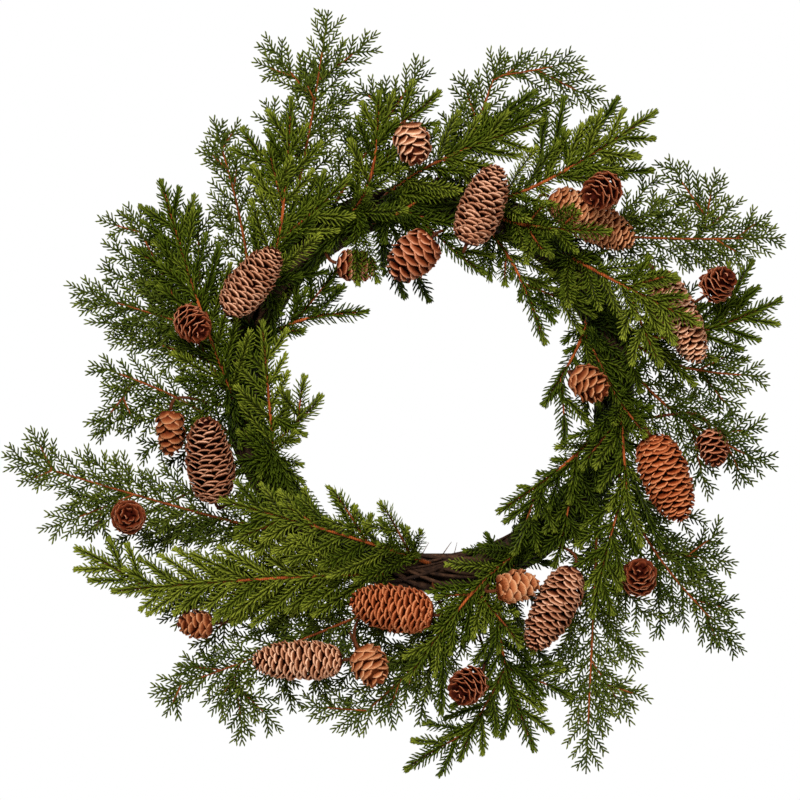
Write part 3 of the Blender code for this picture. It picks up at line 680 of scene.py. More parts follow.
# Round cones
# Fourteen small cones on wired stalks. Some stand open like a rosette, with thin wavy scales of
# dark red-brown, and the others have fewer, broad and thick scales of orange and tan wood.
ROSETTE = dict(scales=48, first=0.10, spacing=0.92, root=0.2, swell=0.56, flare=0.08, rise=0.54,
               hook=-0.15, half_width=0.50, rounding=0.34, wave=0.6, cup=0.03, thickness=0.8,
               core=0.36, stray=0.12)
BROAD = dict(scales=40, first=0.08, spacing=0.95, root=0.4, swell=0.84, flare=0.10, rise=0.74,
             hook=-0.05, half_width=0.54, rounding=0.32, wave=0.7, cup=0.04, thickness=1.1,
             core=0.64, stray=0.18)
# Its first colour is the painted shade at the scales' roots, and its last the lip's edge with a painted
# highlight in it
dull_wood_scales = scale_finish("dull_orange_scales", (0.10, 0.016, 0.003), (0.23, 0.058, 0.017),
                                (0.35, 0.118, 0.042), (0.52, 0.25, 0.125))
# The cones with broad scales. The others are rosettes of dark red-brown
BROAD_FINISHES = {"02": dull_wood_scales, "04": dull_wood_scales, "05": wood_scales, "07": wood_scales,
                  "11": dull_wood_scales, "13": pale_scales}
for cone in cones[len(LARGE_CONES):]:
    number = cone.name[-2:]
    add_cone(cone, BROAD if number in BROAD_FINISHES else ROSETTE,
             BROAD_FINISHES.get(number, red_scales), "round_cone_" + number, draw)

# Stems of the evergreen picks
# Each pick is a wire stem that is stuck into the ring and wrapped in brown paper, with side twigs
# that fork from it. Cedar picks come first, low at the outer edge, then spruce picks over them.
PIECE_GAP = 0.5
STEM_RADIUS = {"cedar": 1.1, "spruce": 1.3}
TWIG_RADIUS = {"cedar": 0.85, "spruce": 1.05}
# The stations on a twig, from which others may fork: their pace, and the length bare of them
WHORL_STEP = {"cedar": 16.5, "spruce": 14.0}
BARE_ROOT = 16.0
TWIG_BARE_ROOT = 10.0
BUD_LENGTH = 6.0
# How the routes of stems and side twigs are shaped and tried out: turns and angles in degrees,
# shifts of the depth and lengths in mm, the rest as shares
STEM_TURNS = (0, -5, 5, -10)
STEM_SHIFTS = (0, 6, -6, 12, -12, 18)
STEM_LIFTS = (0.6, 1.0)
STEM_SWEEP = 0.9
STEM_HOLD = 0.36
STEM_LEVEL = 0.7
LEAST_FORK = 18.0
MOST_FORK = 65.0
FORK_ANGLE = 36.0
SHORTEST_TWIG = 22.0
TURN_COST = 1.5
FORK_CHOICES = 4
FORK_ROOM = 12.0
TIP_SPREAD = 5
TIP_SHIFTS = (0, 7, -7, 14, -14)
LEAST_FACING = 0.5
LEAVE_BEND = 0.15
ARRIVE_BEND = 0.2
# Name, clock angle of the root on the ring, side of the ring's tube that the root sits on
# (0 outer edge, 90 front, 180 inner edge), depth of the tips, and then the clock and reach
# of the leading tip, followed by those of its side twigs
PICKS = (
    ("cedar_01", 314, 35, 14, ((345, 305), (335, 301), (351, 278), (338, 262), (332, 288), (330, 258))),
    ("cedar_02", 298, 25, 6, ((321, 268), (324, 256), (317, 259), (321, 238))),
    ("cedar_03", 329, 40, 22, ((359, 253), (352, 242), (347, 243), (343, 219))),
    ("cedar_04", 281, 30, 12, ((308, 229), (305, 239), (298, 227))),
    ("cedar_05", 268, 35, 20, ((301, 274), (281, 250), (286, 291), (297, 288), (300, 255))),
    ("cedar_06", 255, 30, 10, ((274, 264), (269, 255), (263, 262), (263, 232))),
    ("cedar_07", 222, 35, 22, ((261, 335), (264, 312), (257, 326), (250, 319), (246, 290), (253, 262))),
    ("cedar_08", 189, 35, 16, ((222, 321), (222, 292), (219, 325), (214, 302), (208, 312), (204, 290))),
    ("cedar_09", 165, 35, 14, ((194, 274), (202, 268), (188, 261), (185, 240))),
    ("cedar_10", 206, 30, 12, ((229, 276), (231, 264), (221, 274))),
    ("cedar_11", 122, 35, 18, ((158, 324), (149, 303), (145, 295), (137, 252))),
    ("cedar_12", 111, 30, 12, ((130, 317), (126, 299), (120, 272), (116, 254), (132, 306))),
    ("cedar_13", 84, 35, 20, ((103, 274), (97, 263), (107, 258), (111, 232))),
    ("cedar_14", 70, 30, 10, ((88, 264), (83, 246), (96, 245))),
    ("cedar_15", 38, 35, 20, ((67, 300), (63, 296), (59, 282), (68, 268), (53, 280), (46, 258))),
    ("cedar_16", 358, 35, 14, ((12, 268), (6, 246), (17, 268), (25, 282), (31, 261))),
    ("spruce_01", 300, 75, 34, ((334, 245), (324, 244), (326, 222), (338, 173))),
    ("spruce_02", 333, 80, 42, ((350, 228), (1, 226), (352, 190), (342, 159))),
    ("spruce_03", 351, 60, 30, ((22, 222), (15, 218), (9, 195), (14, 177))),
    ("spruce_04", 16, 70, 38, ((39, 272), (41, 239), (31, 239), (40, 205))),
    ("spruce_05", 65, 50, 30, ((76, 277), (69, 267), (78, 226))),
    ("spruce_06", 22, 95, 62, ((48, 180), (32, 166), (40, 174), (40, 136))),
    ("spruce_07", 339, 120, 22, ((3, 160), (0, 64), (3, 130), (23, 99))),
    ("spruce_08", 19, 140, 30, ((66, 96), (65, 137), (57, 150), (35, 101))),
    ("spruce_09", 44, 80, 66, ((76, 209), (65, 203), (83, 176))),
    ("spruce_10", 65, 130, 26, ((96, 91), (110, 111), (94, 146))),
    ("spruce_11", 89, 85, 44, ((122, 180), (116, 133), (102, 167), (144, 213))),
    ("spruce_12", 103, 130, 36, ((149, 109), (144, 166), (152, 141))),
    ("spruce_13", 153, 60, 28, ((164, 288), (156, 261), (175, 285), (183, 293), (169, 270))),
    ("spruce_14", 150, 90, 44, ((184, 222), (170, 192), (177, 161), (161, 207))),
    ("spruce_15", 180, 125, 34, ((241, 180), (231, 144), (224, 109), (202, 98), (232, 186))),
    ("spruce_16", 194, 70, 38, ((237, 287), (245, 298), (234, 268), (225, 216))),
    ("spruce_17", 244, 130, 30, ((290, 138), (264, 87), (273, 98), (248, 109))),
    ("spruce_18", 285, 140, 30, ((318, 79), (326, 118), (294, 110))),
    ("spruce_19", 261, 60, 34, ((307, 260), (302, 258), (304, 242), (295, 249))),
)


def clockwise(clock):
    """The direction in which the wreath's foliage runs at a clock angle."""
    turn = math.radians(clock)
    return Vector((math.cos(turn), 0, -math.sin(turn)))


class Twig:
    """One stem or side twig: its route, and the stations that forks may start from."""

    def __init__(self, kind, route, radius, bare):
        self.route, self.radius, self.bare = route, radius, bare
        last = route.length - BUD_LENGTH
        count = round((last - bare) / WHORL_STEP[kind])
        self.stations = [last - (last - bare) * i / count for i in range(count, 0, -1)] + [last]
        self.taken = set()

    def station_facing(self, station, side):
        """The direction that one of the three sides looks in at a station."""
        heading = self.route.heading(self.stations[station])
        first, second = facing_frame(heading)
        angle = math.radians(60 * (station % 2) + 120 * side)
        return first * math.cos(angle) + second * math.sin(angle)


class Pick:
    """One evergreen pick: a stem seated on the ring and the side twigs that fork from it."""

    def __init__(self, plan, ring_tree, rods):
        self.name, clock, side, self.depth, self.tips = plan
        self.clock = clock
        self.kind = self.name.split("_")[0]
        self.twigs = []
        radius = STEM_RADIUS[self.kind]
        best_gap = -math.inf
        for turn, shift, lift in itertools.product(STEM_TURNS, STEM_SHIFTS, STEM_LIFTS):
            if best_gap > 2 * PIECE_GAP:
                break
            out = outwards(clock + turn, side)
            start = (clockwise(clock + turn) * STEM_SWEEP + out * lift).normalized()
            seat = ring_seat(ring_tree, clock + turn, side, start, radius)
            route = self.stem_route(seat, start, self.depth + shift)
            gap = route_gap(rods, route, radius, self.name, BARE_ROOT)
            if gap > best_gap:
                best_gap, best_route = gap, route
        self.depth = -best_route.points[-1].y
        self.add_twig(rods, Twig(self.kind, best_route, radius, BARE_ROOT))

    def stem_route(self, seat, start, depth):
        """A stem's route that rises off the ring and runs nearly level before its tip."""
        tip = on_wreath(*self.tips[0], depth)
        hold = (tip - seat).length * STEM_HOLD
        rise = seat + start * hold
        arrive = (tip - rise).normalized()
        before_tip = tip - arrive * hold
        before_tip.y = rise.y + (tip.y - rise.y) * STEM_LEVEL
        return Route((seat, rise, before_tip, tip))

    def add_twig(self, rods, twig):
        self.twigs.append(twig)
        marks = [0.0] + twig.stations + [twig.route.length]
        for start, end in zip(marks, marks[1:]):
            rods.add(twig.route.at(start), twig.route.at(end), twig.radius, self.name)

    def forks_for(self, tip):
        """The stations of earlier twigs that reach a tip, the soonest at about the fork angle first."""
        choices = []
        for twig in self.twigs:
            for station, along in enumerate(twig.stations[:-1]):
                place = twig.route.at(along)
                turn = math.degrees(twig.route.heading(along).angle(tip - place))
                if LEAST_FORK < turn < MOST_FORK and (tip - place).length > SHORTEST_TWIG:
                    cost = (tip - place).length + TURN_COST * abs(turn - FORK_ANGLE)
                    choices.append((cost, twig, station))
        choices.sort(key=lambda choice: choice[0])
        return choices

    def grow_side_twig(self, rods, clock, reach, shift):
        """Adds a side twig to one tip, if it finds room."""
        radius = TWIG_RADIUS[self.kind]
        for change in TIP_SHIFTS:
            tip = on_wreath(clock, reach, self.depth + shift + change)
            for _, parent, station in self.forks_for(tip)[:FORK_CHOICES]:
                place = parent.route.at(parent.stations[station])
                heading = parent.route.heading(parent.stations[station])
                across = (tip - place) - heading * (tip - place).dot(heading)
                sides = [k for k in range(3) if (station, k) not in parent.taken]
                if not sides:
                    continue
                side = max(sides, key=lambda k: parent.station_facing(station, k).dot(across))
                facing = parent.station_facing(station, side)
                if facing.dot(across.normalized()) < LEAST_FACING:
                    continue
                base = place + facing * parent.radius / 2
                hold = (tip - base).length / 3
                leave = ((tip - base).normalized() + (heading + facing) * LEAVE_BEND).normalized()
                arrive = ((tip - base).normalized() + heading * ARRIVE_BEND).normalized()
                route = Route((base, base + leave * hold, tip - arrive * hold, tip))
                if route_gap(rods, route, radius, self.name, 0, FORK_ROOM) > PIECE_GAP:
                    parent.taken.add((station, side))
                    self.add_twig(rods, Twig(self.kind, route, radius, TWIG_BARE_ROOT))
                    return


picks = [Pick(plan, ring_tree, rods) for plan in PICKS]
for pick in picks:
    for number, (clock, reach) in enumerate(pick.tips[1:]):
        pick.grow_side_twig(rods, clock, reach, TIP_SPREAD * (number % 3 - 1))

cone_bases = np.array([cone.base for cone in cones])
cone_axes = np.array([cone.axis for cone in cones])
cone_lengths = np.array([cone.length for cone in cones])
cone_radii = np.array([cone.radius for cone in cones])
HOLE = np.array(frame["record"]["physics"]["openings"][0]["box_m"]) / MM
EDGES = np.array(cad_box) / MM
# How far foliage may sink into the ring's vines, and the room that it keeps from the wall
INTO_RING = 2.0
WALL_ROOM = 2.5
# Side shoots reach no nearer to the ring's centre than this, and may cross it by a little
INNER_REACH = 118.0
INNER_EXCESS = 7.0
# How far a shoot is lifted clear of the ring, and the length from its root that may be crowded
OVER_RING = 2.5
FREE_START = 4.0
SHOOT_STEP = 2.5
# The material slots of a spray
PAPER, NEEDLES, GREEN = range(3)


def crowded(points, margin):
    """Which points lie in a cone, the ring, the hook's room, the open hole or past the edges."""
    from_base = points[:, None] - cone_bases
    along = (from_base * cone_axes).sum(-1)
    share = np.clip(along / cone_lengths, 0, 1)
    away = np.linalg.norm(from_base - along[..., None] * cone_axes, axis=-1)
    room = cone_radii * cone_profile(share) + margin
    near = (along > -margin) & (along < cone_lengths + margin) & (away < room)
    reach = np.hypot(points[:, 0], points[:, 2] + HOOK_SEAT_REACH)
    in_ring = np.hypot(reach - RING_REACH, points[:, 1]) < RING_TUBE + VINE_LOBE_DEPTH - INTO_RING
    at_hook = np.linalg.norm(points - (0, 0, -HOOK_ROOM / 2), axis=1) < HOOK_ROOM
    in_hole = ((points > HOLE[0]) & (points < HOLE[1])).all(1)
    beyond = ((points < EDGES[0]) | (points > EDGES[1])).any(1)
    return near.any(1) | in_ring | at_hook | in_hole | beyond


class Shoot:
    """A length of twig that carries needles: its points, one every few millimetres, and its age, with
    painted shade mixed in.
    """

    def __init__(self, points, thick, thin, bare, age_and_painted_shade, bare_front=(0, 0)):
        self.points = np.asarray(points, float)
        steps = np.linalg.norm(np.diff(self.points, axis=0), axis=1)
        self.along = np.concatenate([[0], np.cumsum(steps)])
        self.length = self.along[-1]
        self.thick, self.thin, self.bare, self.age_and_painted_shade = thick, thin, bare, age_and_painted_shade
        self.bare_front = bare_front
        self.headings = unit(np.gradient(self.points, axis=0))
        self.fronts = unit(FRONT_AXIS - self.headings * (self.headings @ FRONT_AXIS)[:, None])
        self.laterals = np.cross(self.headings, self.fronts)

    def read(self, along):
        """Points, headings, fronts and laterals at some lengths along the shoot."""
        along = np.clip(along, 0, self.length)
        points, headings, fronts, laterals = (
            np.stack([np.interp(along, self.along, values[:, k]) for k in range(3)], -1)
            for values in (self.points, self.headings, self.fronts, self.laterals))
        return points, unit(headings), unit(fronts), unit(laterals)


def side_shoot(parent, along, way, length, thick, age_and_painted_shade, bare, curl=0.12, inner=INNER_REACH):
    """A shoot off another, bent back a little towards its heading and lifted over the ring."""
    point, heading = (values[0] for values in parent.read(np.array([along]))[:2])
    share = np.linspace(0, 1, max(4, math.ceil(length / SHOOT_STEP)))[:, None]
    points = point + way * length * share + (heading - way) * curl * length * share ** 2
    reach = np.hypot(points[:, 0], points[:, 2] + HOOK_SEAT_REACH)
    from_tube = np.stack([reach - RING_REACH, points[:, 1]], -1)
    lift = np.clip(RING_TUBE + VINE_LOBE_DEPTH + OVER_RING - np.linalg.norm(from_tube, axis=1), 0, None)
    lift = unit(from_tube) * (lift * np.clip(share[:, 0] * length / 3, 0, 1))[:, None]
    points[:, ::2] += (points[:, ::2] + (0, HOOK_SEAT_REACH)) / reach[:, None] * lift[:, :1]
    points[:, 1] = np.minimum(points[:, 1] + lift[:, 1], WALL_BEHIND - WALL_ROOM)
    too_far_in = reach < min(reach[0], inner) - INNER_EXCESS
    blocked = (crowded(points, 1.5) | too_far_in) & (share[:, 0] * length > FREE_START)
    if blocked.any():
        points = points[:int(np.argmax(blocked))]
    if len(points) < 4:
        return None
    return Shoot(points, thick, thick * 0.6, bare, age_and_painted_shade)


def fork_shoots(parent, draw, habit, start, age_and_painted_shade):
    """Side shoots left and right by turns, the longest near the root, and the shoots off those."""
    hand = 1 if draw.uniform() < 0.5 else -1
    along = start
    while along < parent.length - habit["tip_room"]:
        heading, front, lateral = (values[0] for values in parent.read(np.array([along]))[1:])
        angle = math.radians(draw.uniform(*habit["angle"]))
        side = unit(lateral * hand + front * draw.uniform(*habit["tilt"]))
        way = unit(heading * math.cos(angle) + side * math.sin(angle))
        length = habit["least"] + habit["grow"] * (parent.length - along)
        length = min(length, habit["most"]) * draw.uniform(0.82, 1.15)
        age = age_and_painted_shade + draw.uniform(-0.18, 0.18)
        shoot = side_shoot(parent, along, way, length, habit["thick"], age, habit["bare"])
        if shoot:
            yield shoot
            if shoot.length > habit["forks_past"]:
                yield from fork_shoots(shoot, draw, habit["smaller"], habit["smaller"]["start"], age_and_painted_shade)
        hand = -hand
        along += draw.uniform(*habit["pace"])


# A needle's form: how its tip bends back and its middle bows out, as shares of its length, the
# height of its ridge as a share of its width, and the room at the wall
NEEDLE_TIP_BEND = 0.06
NEEDLE_BOW = 0.28
NEEDLE_RIDGE = 0.35
NEEDLE_WALL_ROOM = 0.3


def add_needles(shape, draw, roots, ways, bows, fronts, lengths, width, sections, age_and_painted_shade):
    """Adds flat needles, pointed at both ends, with a three-cornered section at some shares."""
    tips = roots + ways * lengths[:, None] - bows * (lengths * NEEDLE_TIP_BEND)[:, None]
    kept = ~(crowded(tips, 0.3) | crowded((roots + tips) / 2, 0.3))
    roots, ways, bows, fronts = roots[kept], ways[kept], bows[kept], fronts[kept]
    tips, lengths, age_and_painted_shade = tips[kept], lengths[kept], age_and_painted_shade[kept]
    across = unit(np.cross(ways, fronts + 0.6 * bows)) * width / 2
    ridge = unit(np.cross(across, ways)) * width * NEEDLE_RIDGE
    corners = [roots]
    for share in sections:
        bow = lengths * NEEDLE_BOW * share * (1 - share)
        middles = roots + (tips - roots) * share + bows * bow[:, None]
        corners += [middles + across, middles + ridge, middles - across]
    corners = np.stack(corners + [tips], 1)
    corners[..., 1] = np.minimum(corners[..., 1], WALL_BEHIND - NEEDLE_WALL_ROOM)
    last = 3 * len(sections) - 2
    ends = [(3, 1, 0), (2, 3, 0), (1, 2, 0), (last, last + 2, last + 3),
            (last + 2, last + 1, last + 3), (last + 1, last, last + 3)]
    first = np.arange(len(roots))[:, None, None] * (last + 4)
    blocks = [(first + np.array(ends)).reshape(-1, 3)]
    if len(sections) == 2:
        blocks.append((first + np.array([(1, 3, 6, 4), (3, 2, 5, 6), (2, 1, 4, 5)])).reshape(-1, 4))
    marks = np.zeros((len(roots), last + 4, 3))
    marks[..., 0] = np.concatenate([[0], np.repeat(sections, 3), [1]])
    marks[..., 1] = draw.uniform(0, 1, len(roots))[:, None]
    marks[..., 2] = age_and_painted_shade[:, None]
    shape.add(corners.reshape(-1, 3), blocks, NEEDLES, marks.reshape(-1, 3))


def needle_finish(name, old, grown, new, tip):
    """Moulded needles: deep green when old, lighter and yellower on new growth and at the tip, with painted
    shade darkening them towards the root.
    """
    finish = Finish(name, 0.55, 0.04)
    along, chance, age_and_painted_shade = finish.marks()
    age = finish.sum(finish.sum(age_and_painted_shade, chance, 0.20), finish.noise(45, 2.0), 0.16)
    colour = finish.ramp(age, ((0.14, old), (0.48, grown), (0.98, new)))
    # Painted shade: each needle darkens towards its root, where it crowds the twig
    shade = finish.ramp(along, ((0.0, (0.12, 0.12, 0.12)), (0.5, (0.85, 0.85, 0.85)), (1.0, tip)))
    finish.colour(finish.blend(1.0, colour, shade, "MULTIPLY"))
    finish.relief(finish.noise(2500, 2.0), 0.06)
    return finish


green_shoot = Finish("green_shoot", 0.55, 0.04)
green_shoot.colour(green_shoot.ramp(green_shoot.noise(300), (
    (0.3, (0.020, 0.026, 0.002)), (0.7, (0.055, 0.065, 0.005)))))
green_shoot.relief(green_shoot.noise(1500), 0.1)


def stem_shoots(pick, draw, age_and_painted_shade, bare=0.0):
    """The pick's stem and side twigs as shoots, each with a stretch of its front bare if asked."""
    for number, twig in enumerate(pick.twigs):
        length = twig.route.length
        points = twig.route.samples(max(8, round(length / 2)))
        swell, root = (1.25, 0.5) if number == 0 else (0.95, 0.2)
        start = draw.uniform(0.15, 0.40)
        stretch = (start * length, (start + bare * draw.uniform(0.5, 1)) * length)
        yield Shoot(points, twig.radius * swell, twig.radius * 0.55, twig.bare * root, age_and_painted_shade, stretch)


# Single shoots between the side twigs, by pick: how far up its stem each one starts, and the clock
# angle, reach and depth of its tip
SINGLE_SHOOTS = {
    "cedar_01": ((90, 345, 242, 10),),
    "cedar_05": ((100, 294, 276, 26), (90, 290, 272, 14), (60, 281, 268, 22), (8, 264, 196, 40),
                 (40, 279, 254, 14), (70, 284, 282, 18)),
    "cedar_06": ((30, 257, 234, 8), (70, 262, 264, 8), (50, 262, 246, 6), (20, 253, 216, 4)),
    "cedar_07": ((60, 243, 254, 14), (40, 241, 250, 6), (90, 244, 278, 10), (60, 241, 258, 4)),
    "cedar_08": ((10, 193, 220, 6), (20, 197, 248, 6)),
    "cedar_09": ((50, 196, 256, 10), (60, 182, 262, 20), (30, 186, 238, 24), (30, 191, 216, 8),
                 (60, 189, 224, 14)),
    "cedar_10": ((50, 205, 264, 12), (30, 200, 252, 10), (10, 199, 242, 8), (60, 203, 274, 12),
                 (10, 196, 224, 14), (30, 198, 258, 20)),
    "cedar_11": ((85, 143, 268, 30), (40, 155, 238, 10)),
    "cedar_12": ((30, 116, 240, 22), (80, 137, 264, 14), (70, 124, 274, 10)),
    "cedar_13": ((45, 104, 246, 62), (40, 99, 240, 60)),
    "cedar_14": ((20, 69, 222, 8),),
    "cedar_15": ((40, 47, 242, 26), (50, 51, 240, 14), (110, 67, 240, 26), (60, 54, 250, 8)),
    "cedar_16": ((40, 20, 248, 10), (70, 24, 244, 16)),
    "spruce_02": ((14, 326, 100, 58), (14, 334, 94, 60), (5, 325, 134, 24)),
    "spruce_03": ((60, 19, 240, 30), (70, 22, 238, 26)),
    "spruce_04": ((60, 25, 244, 30), (70, 45, 238, 30), (50, 23, 228, 24), (80, 33, 264, 26)),
    "spruce_07": ((4, 331, 130, 22), (8, 344, 78, 10), (12, 339, 100, 10), (30, 0, 70, 10),
                 (18, 358, 72, 6)),
    "spruce_08": ((3, 23, 103, 26), (6, 28, 99, 28)),
    "spruce_10": ((4, 98, 122, 20),),
    "spruce_11": ((4, 84, 130, 26), (6, 94, 160, 28), (60, 124, 214, 30)),
    "spruce_12": ((4, 108, 132, 24),),
    "spruce_13": ((3, 141, 132, 20), (60, 172, 236, 28), (50, 157, 228, 20)),
    "spruce_14": ((4, 161, 130, 24), (8, 164, 150, 26), (3, 146, 128, 22), (90, 178, 248, 40),
                 (30, 152, 192, 30), (40, 183, 214, 34)),
    "spruce_17": ((5, 256, 150, 24), (3, 235, 124, 24), (6, 240, 118, 28), (8, 246, 168, 18),
                 (40, 251, 106, 26)),
    "spruce_19": ((8, 263, 180, 34), (14, 272, 192, 38), (4, 254, 154, 20)),
}


def single_shoots(pick, stem, age_and_painted_shade):
    """The shoots of a pick that grow singly off its stem, each to a tip of its own."""
    for along, clock, reach, depth in SINGLE_SHOOTS.get(pick.name, ()):
        way = np.array(on_wreath(clock, reach, depth)) - stem.read(np.array([along]))[0][0]
        shoot = side_shoot(stem, along, unit(way), np.linalg.norm(way), 0.8, age_and_painted_shade, 2.0, 0.0, 0)
        if shoot:
            yield shoot


def add_stem(shape, shoot, sides, finish, chance, start=0.0, end=1.0):
    """Adds the stem of a shoot, tapered to its tip, or a share of it."""
    count = max(3, math.ceil(shoot.length * (end - start) / 5))
    share = np.linspace(start, end, count)
    add_tube(shape, shoot.read(shoot.length * share)[0], shoot.thick + (shoot.thin - shoot.thick) * share,
             sides, finish, (0.5, chance, 0))


# Cedar picks
# Sixteen open, forked sprays of moulded plastic that make the wreath's outer fringe. Thin green
# shoots stand left and right of each brown twig, and carry leaf needles in opposite pairs.
CEDAR_PAIR_STEP = 3.6
CEDAR_LENGTH = 6.6
CEDAR_WIDTH = 1.35
CEDAR_LEAN = 44.0
# The length before a shoot's tip over which its needles close up
CEDAR_BUD = 10.0
# Shares of the stem and of the side twigs that are wrapped in paper. The rest is green
CEDAR_WRAPPED = (0.82, 0.6)
# How side shoots grow: start and pace along the parent, the room left at its tip, their angle to
# it and tilt to the front, and their length, which grows with what is left of the parent
CEDAR_SHOOTS = dict(
    start=2.0, pace=(5.7, 7.5), tip_room=9.0, angle=(32, 46), tilt=(-0.3, 0.4), grow=0.30, least=10.0,
    most=40.0, thick=0.75, bare=2.0, forks_past=29.0, smaller=dict(
        start=8.0, pace=(8.0, 10.5), tip_room=8.0, angle=(38, 48), tilt=(-0.3, 0.4), grow=0.30, least=8.0,
        most=15.0, thick=0.6, bare=1.5, forks_past=99.0))
cedar_needles = needle_finish("cedar_needles", (0.007, 0.015, 0.0010), (0.036, 0.056, 0.0040),
                              (0.120, 0.145, 0.016), (0.9, 0.9, 0.9))


def cedar_pairs(shape, shoot, draw, front=True):
    """Opposite pairs of leaf needles across the spray, and one to the front after every second."""
    along = np.arange(shoot.bare, shoot.length, CEDAR_PAIR_STEP)
    fronted = len(along) // 2 if front else 0
    row = np.concatenate([np.tile((0, 1), len(along)), np.full(fronted, 2)])
    along = np.concatenate([np.repeat(along, 2), along[:fronted * 2:2] + CEDAR_PAIR_STEP / 2])
    points, headings, fronts, laterals = shoot.read(along)
    angle = np.radians(np.array((0, 180, 80))[row] + draw.uniform(-20, 20, len(row)))
    side = laterals * np.cos(angle)[:, None] + fronts * np.sin(angle)[:, None]
    left = np.clip((shoot.length - along) / CEDAR_BUD, 0, 1)
    lean = np.radians(CEDAR_LEAN * (0.5 + 0.5 * left) + draw.uniform(-6, 6, len(row)))
    ways = unit(headings * np.cos(lean)[:, None] + side * np.sin(lean)[:, None])
    bows = unit(side - ways * (side * ways).sum(1)[:, None])
    lengths = CEDAR_LENGTH * draw.uniform(0.82, 1.08, len(row)) * np.where(row > 1, 0.85, 1)
    # Painted light: needles that face the front are a little lighter
    age_and_painted_shade = shoot.age_and_painted_shade + 0.22 * (1 - left) + 0.05 * (side @ FRONT_AXIS)
    add_needles(shape, draw, points, ways, bows, fronts, lengths, CEDAR_WIDTH, (0.1, 0.80), age_and_painted_shade)


def grow_cedar(pick, number):
    """Makes one cedar spray. Its single shoots fork once more, as its side shoots do."""
    shape = Shape()
    draw = np.random.default_rng(100 + number)
    smaller = CEDAR_SHOOTS["smaller"]
    age_and_painted_shade = 0.30 + draw.uniform(-0.10, 0.10)
    for order, stem in enumerate(stem_shoots(pick, draw, age_and_painted_shade)):
        wrapped = CEDAR_WRAPPED[min(order, 1)]
        add_stem(shape, stem, 6, PAPER, 0.55, 0.0, wrapped)
        add_stem(shape, stem, 5, GREEN, 0.5, wrapped, 1.0)
        cedar_pairs(shape, stem, draw, front=False)
        shoots = list(fork_shoots(stem, draw, CEDAR_SHOOTS, stem.bare + CEDAR_SHOOTS["start"], age_and_painted_shade + 0.06))
        if order == 0:
            for shoot in single_shoots(pick, stem, age_and_painted_shade):
                shoots += [shoot, *fork_shoots(shoot, draw, smaller, smaller["start"], age_and_painted_shade)]
        for shoot in shoots:
            add_stem(shape, shoot, 4, GREEN, 0.5)
            cedar_pairs(shape, shoot, draw)
    shape.make("cedar_spray_" + pick.name[-2:], [paper, cedar_needles, green_shoot], pick.name)


for number, pick in enumerate(picks):
    if pick.kind == "cedar":
        grow_cedar(pick, number)

# Spruce picks
# Nineteen dense sprays of moulded plastic that cover the ring. Short flat needles stand in rows
# like a comb round every twig, and the orange paper of the stem shows where its front is bare.
SPRUCE_STEP = 3.3
SPRUCE_LENGTH = 9.8
SPRUCE_WIDTH = 1.4
# Rows of needles: their places round the shoot from its front, and how far they lean from it
SPRUCE_ROWS = (86, -86, 28, -28, 138, -138)
SPRUCE_LEANS = (54, 54, 38, 38, 48, 48)
# The lengths over which the needles close up before a shoot's tip, and grow out after its root
SPRUCE_BUD = 9.0
SPRUCE_START = 6.0
# How much of a stem's front may be bare of needles, as a share of its length
SPRUCE_BARE_FRONT = 0.32
SPRUCE_SHOOTS = dict(
    start=2.0, pace=(8.0, 10.5), tip_room=24.0, angle=(34, 50), tilt=(-0.2, 0.5), grow=0.24, least=19.0,
    most=50.0, thick=0.9, bare=1.5, forks_past=99.0)
# Shoots laid over the ring: the degrees between them, how far up the stem they start, how far
# they aim to either side of the ring's middle, and the clock angles where the ring stays bare
RING_COVER_STEP = 3.3
RING_COVER_START = (1, 16)
RING_COVER_ASIDE = (4, 16)
BARE_RING = (164, 188)
# How young the growth of some sprays is, where it isn't the common value
SPRUCE_YOUNG = {"16": 0.52, "17": 0.44, "15": 0.42, "04": 0.34, "03": 0.30, "01": 0.28, "09": 0.34}
SPRUCE_COMMON_YOUNG = 0.26
# Painted light and shade: needles further to the front than this are lighter, and those nearer to the ring
# are darker
PAINTED_SHADE_DEPTH = 27.0
spruce_needles = needle_finish("spruce_needles", (0.007, 0.014, 0.0008), (0.042, 0.062, 0.0028),
                               (0.160, 0.185, 0.018), (1.3, 1.25, 1.1))


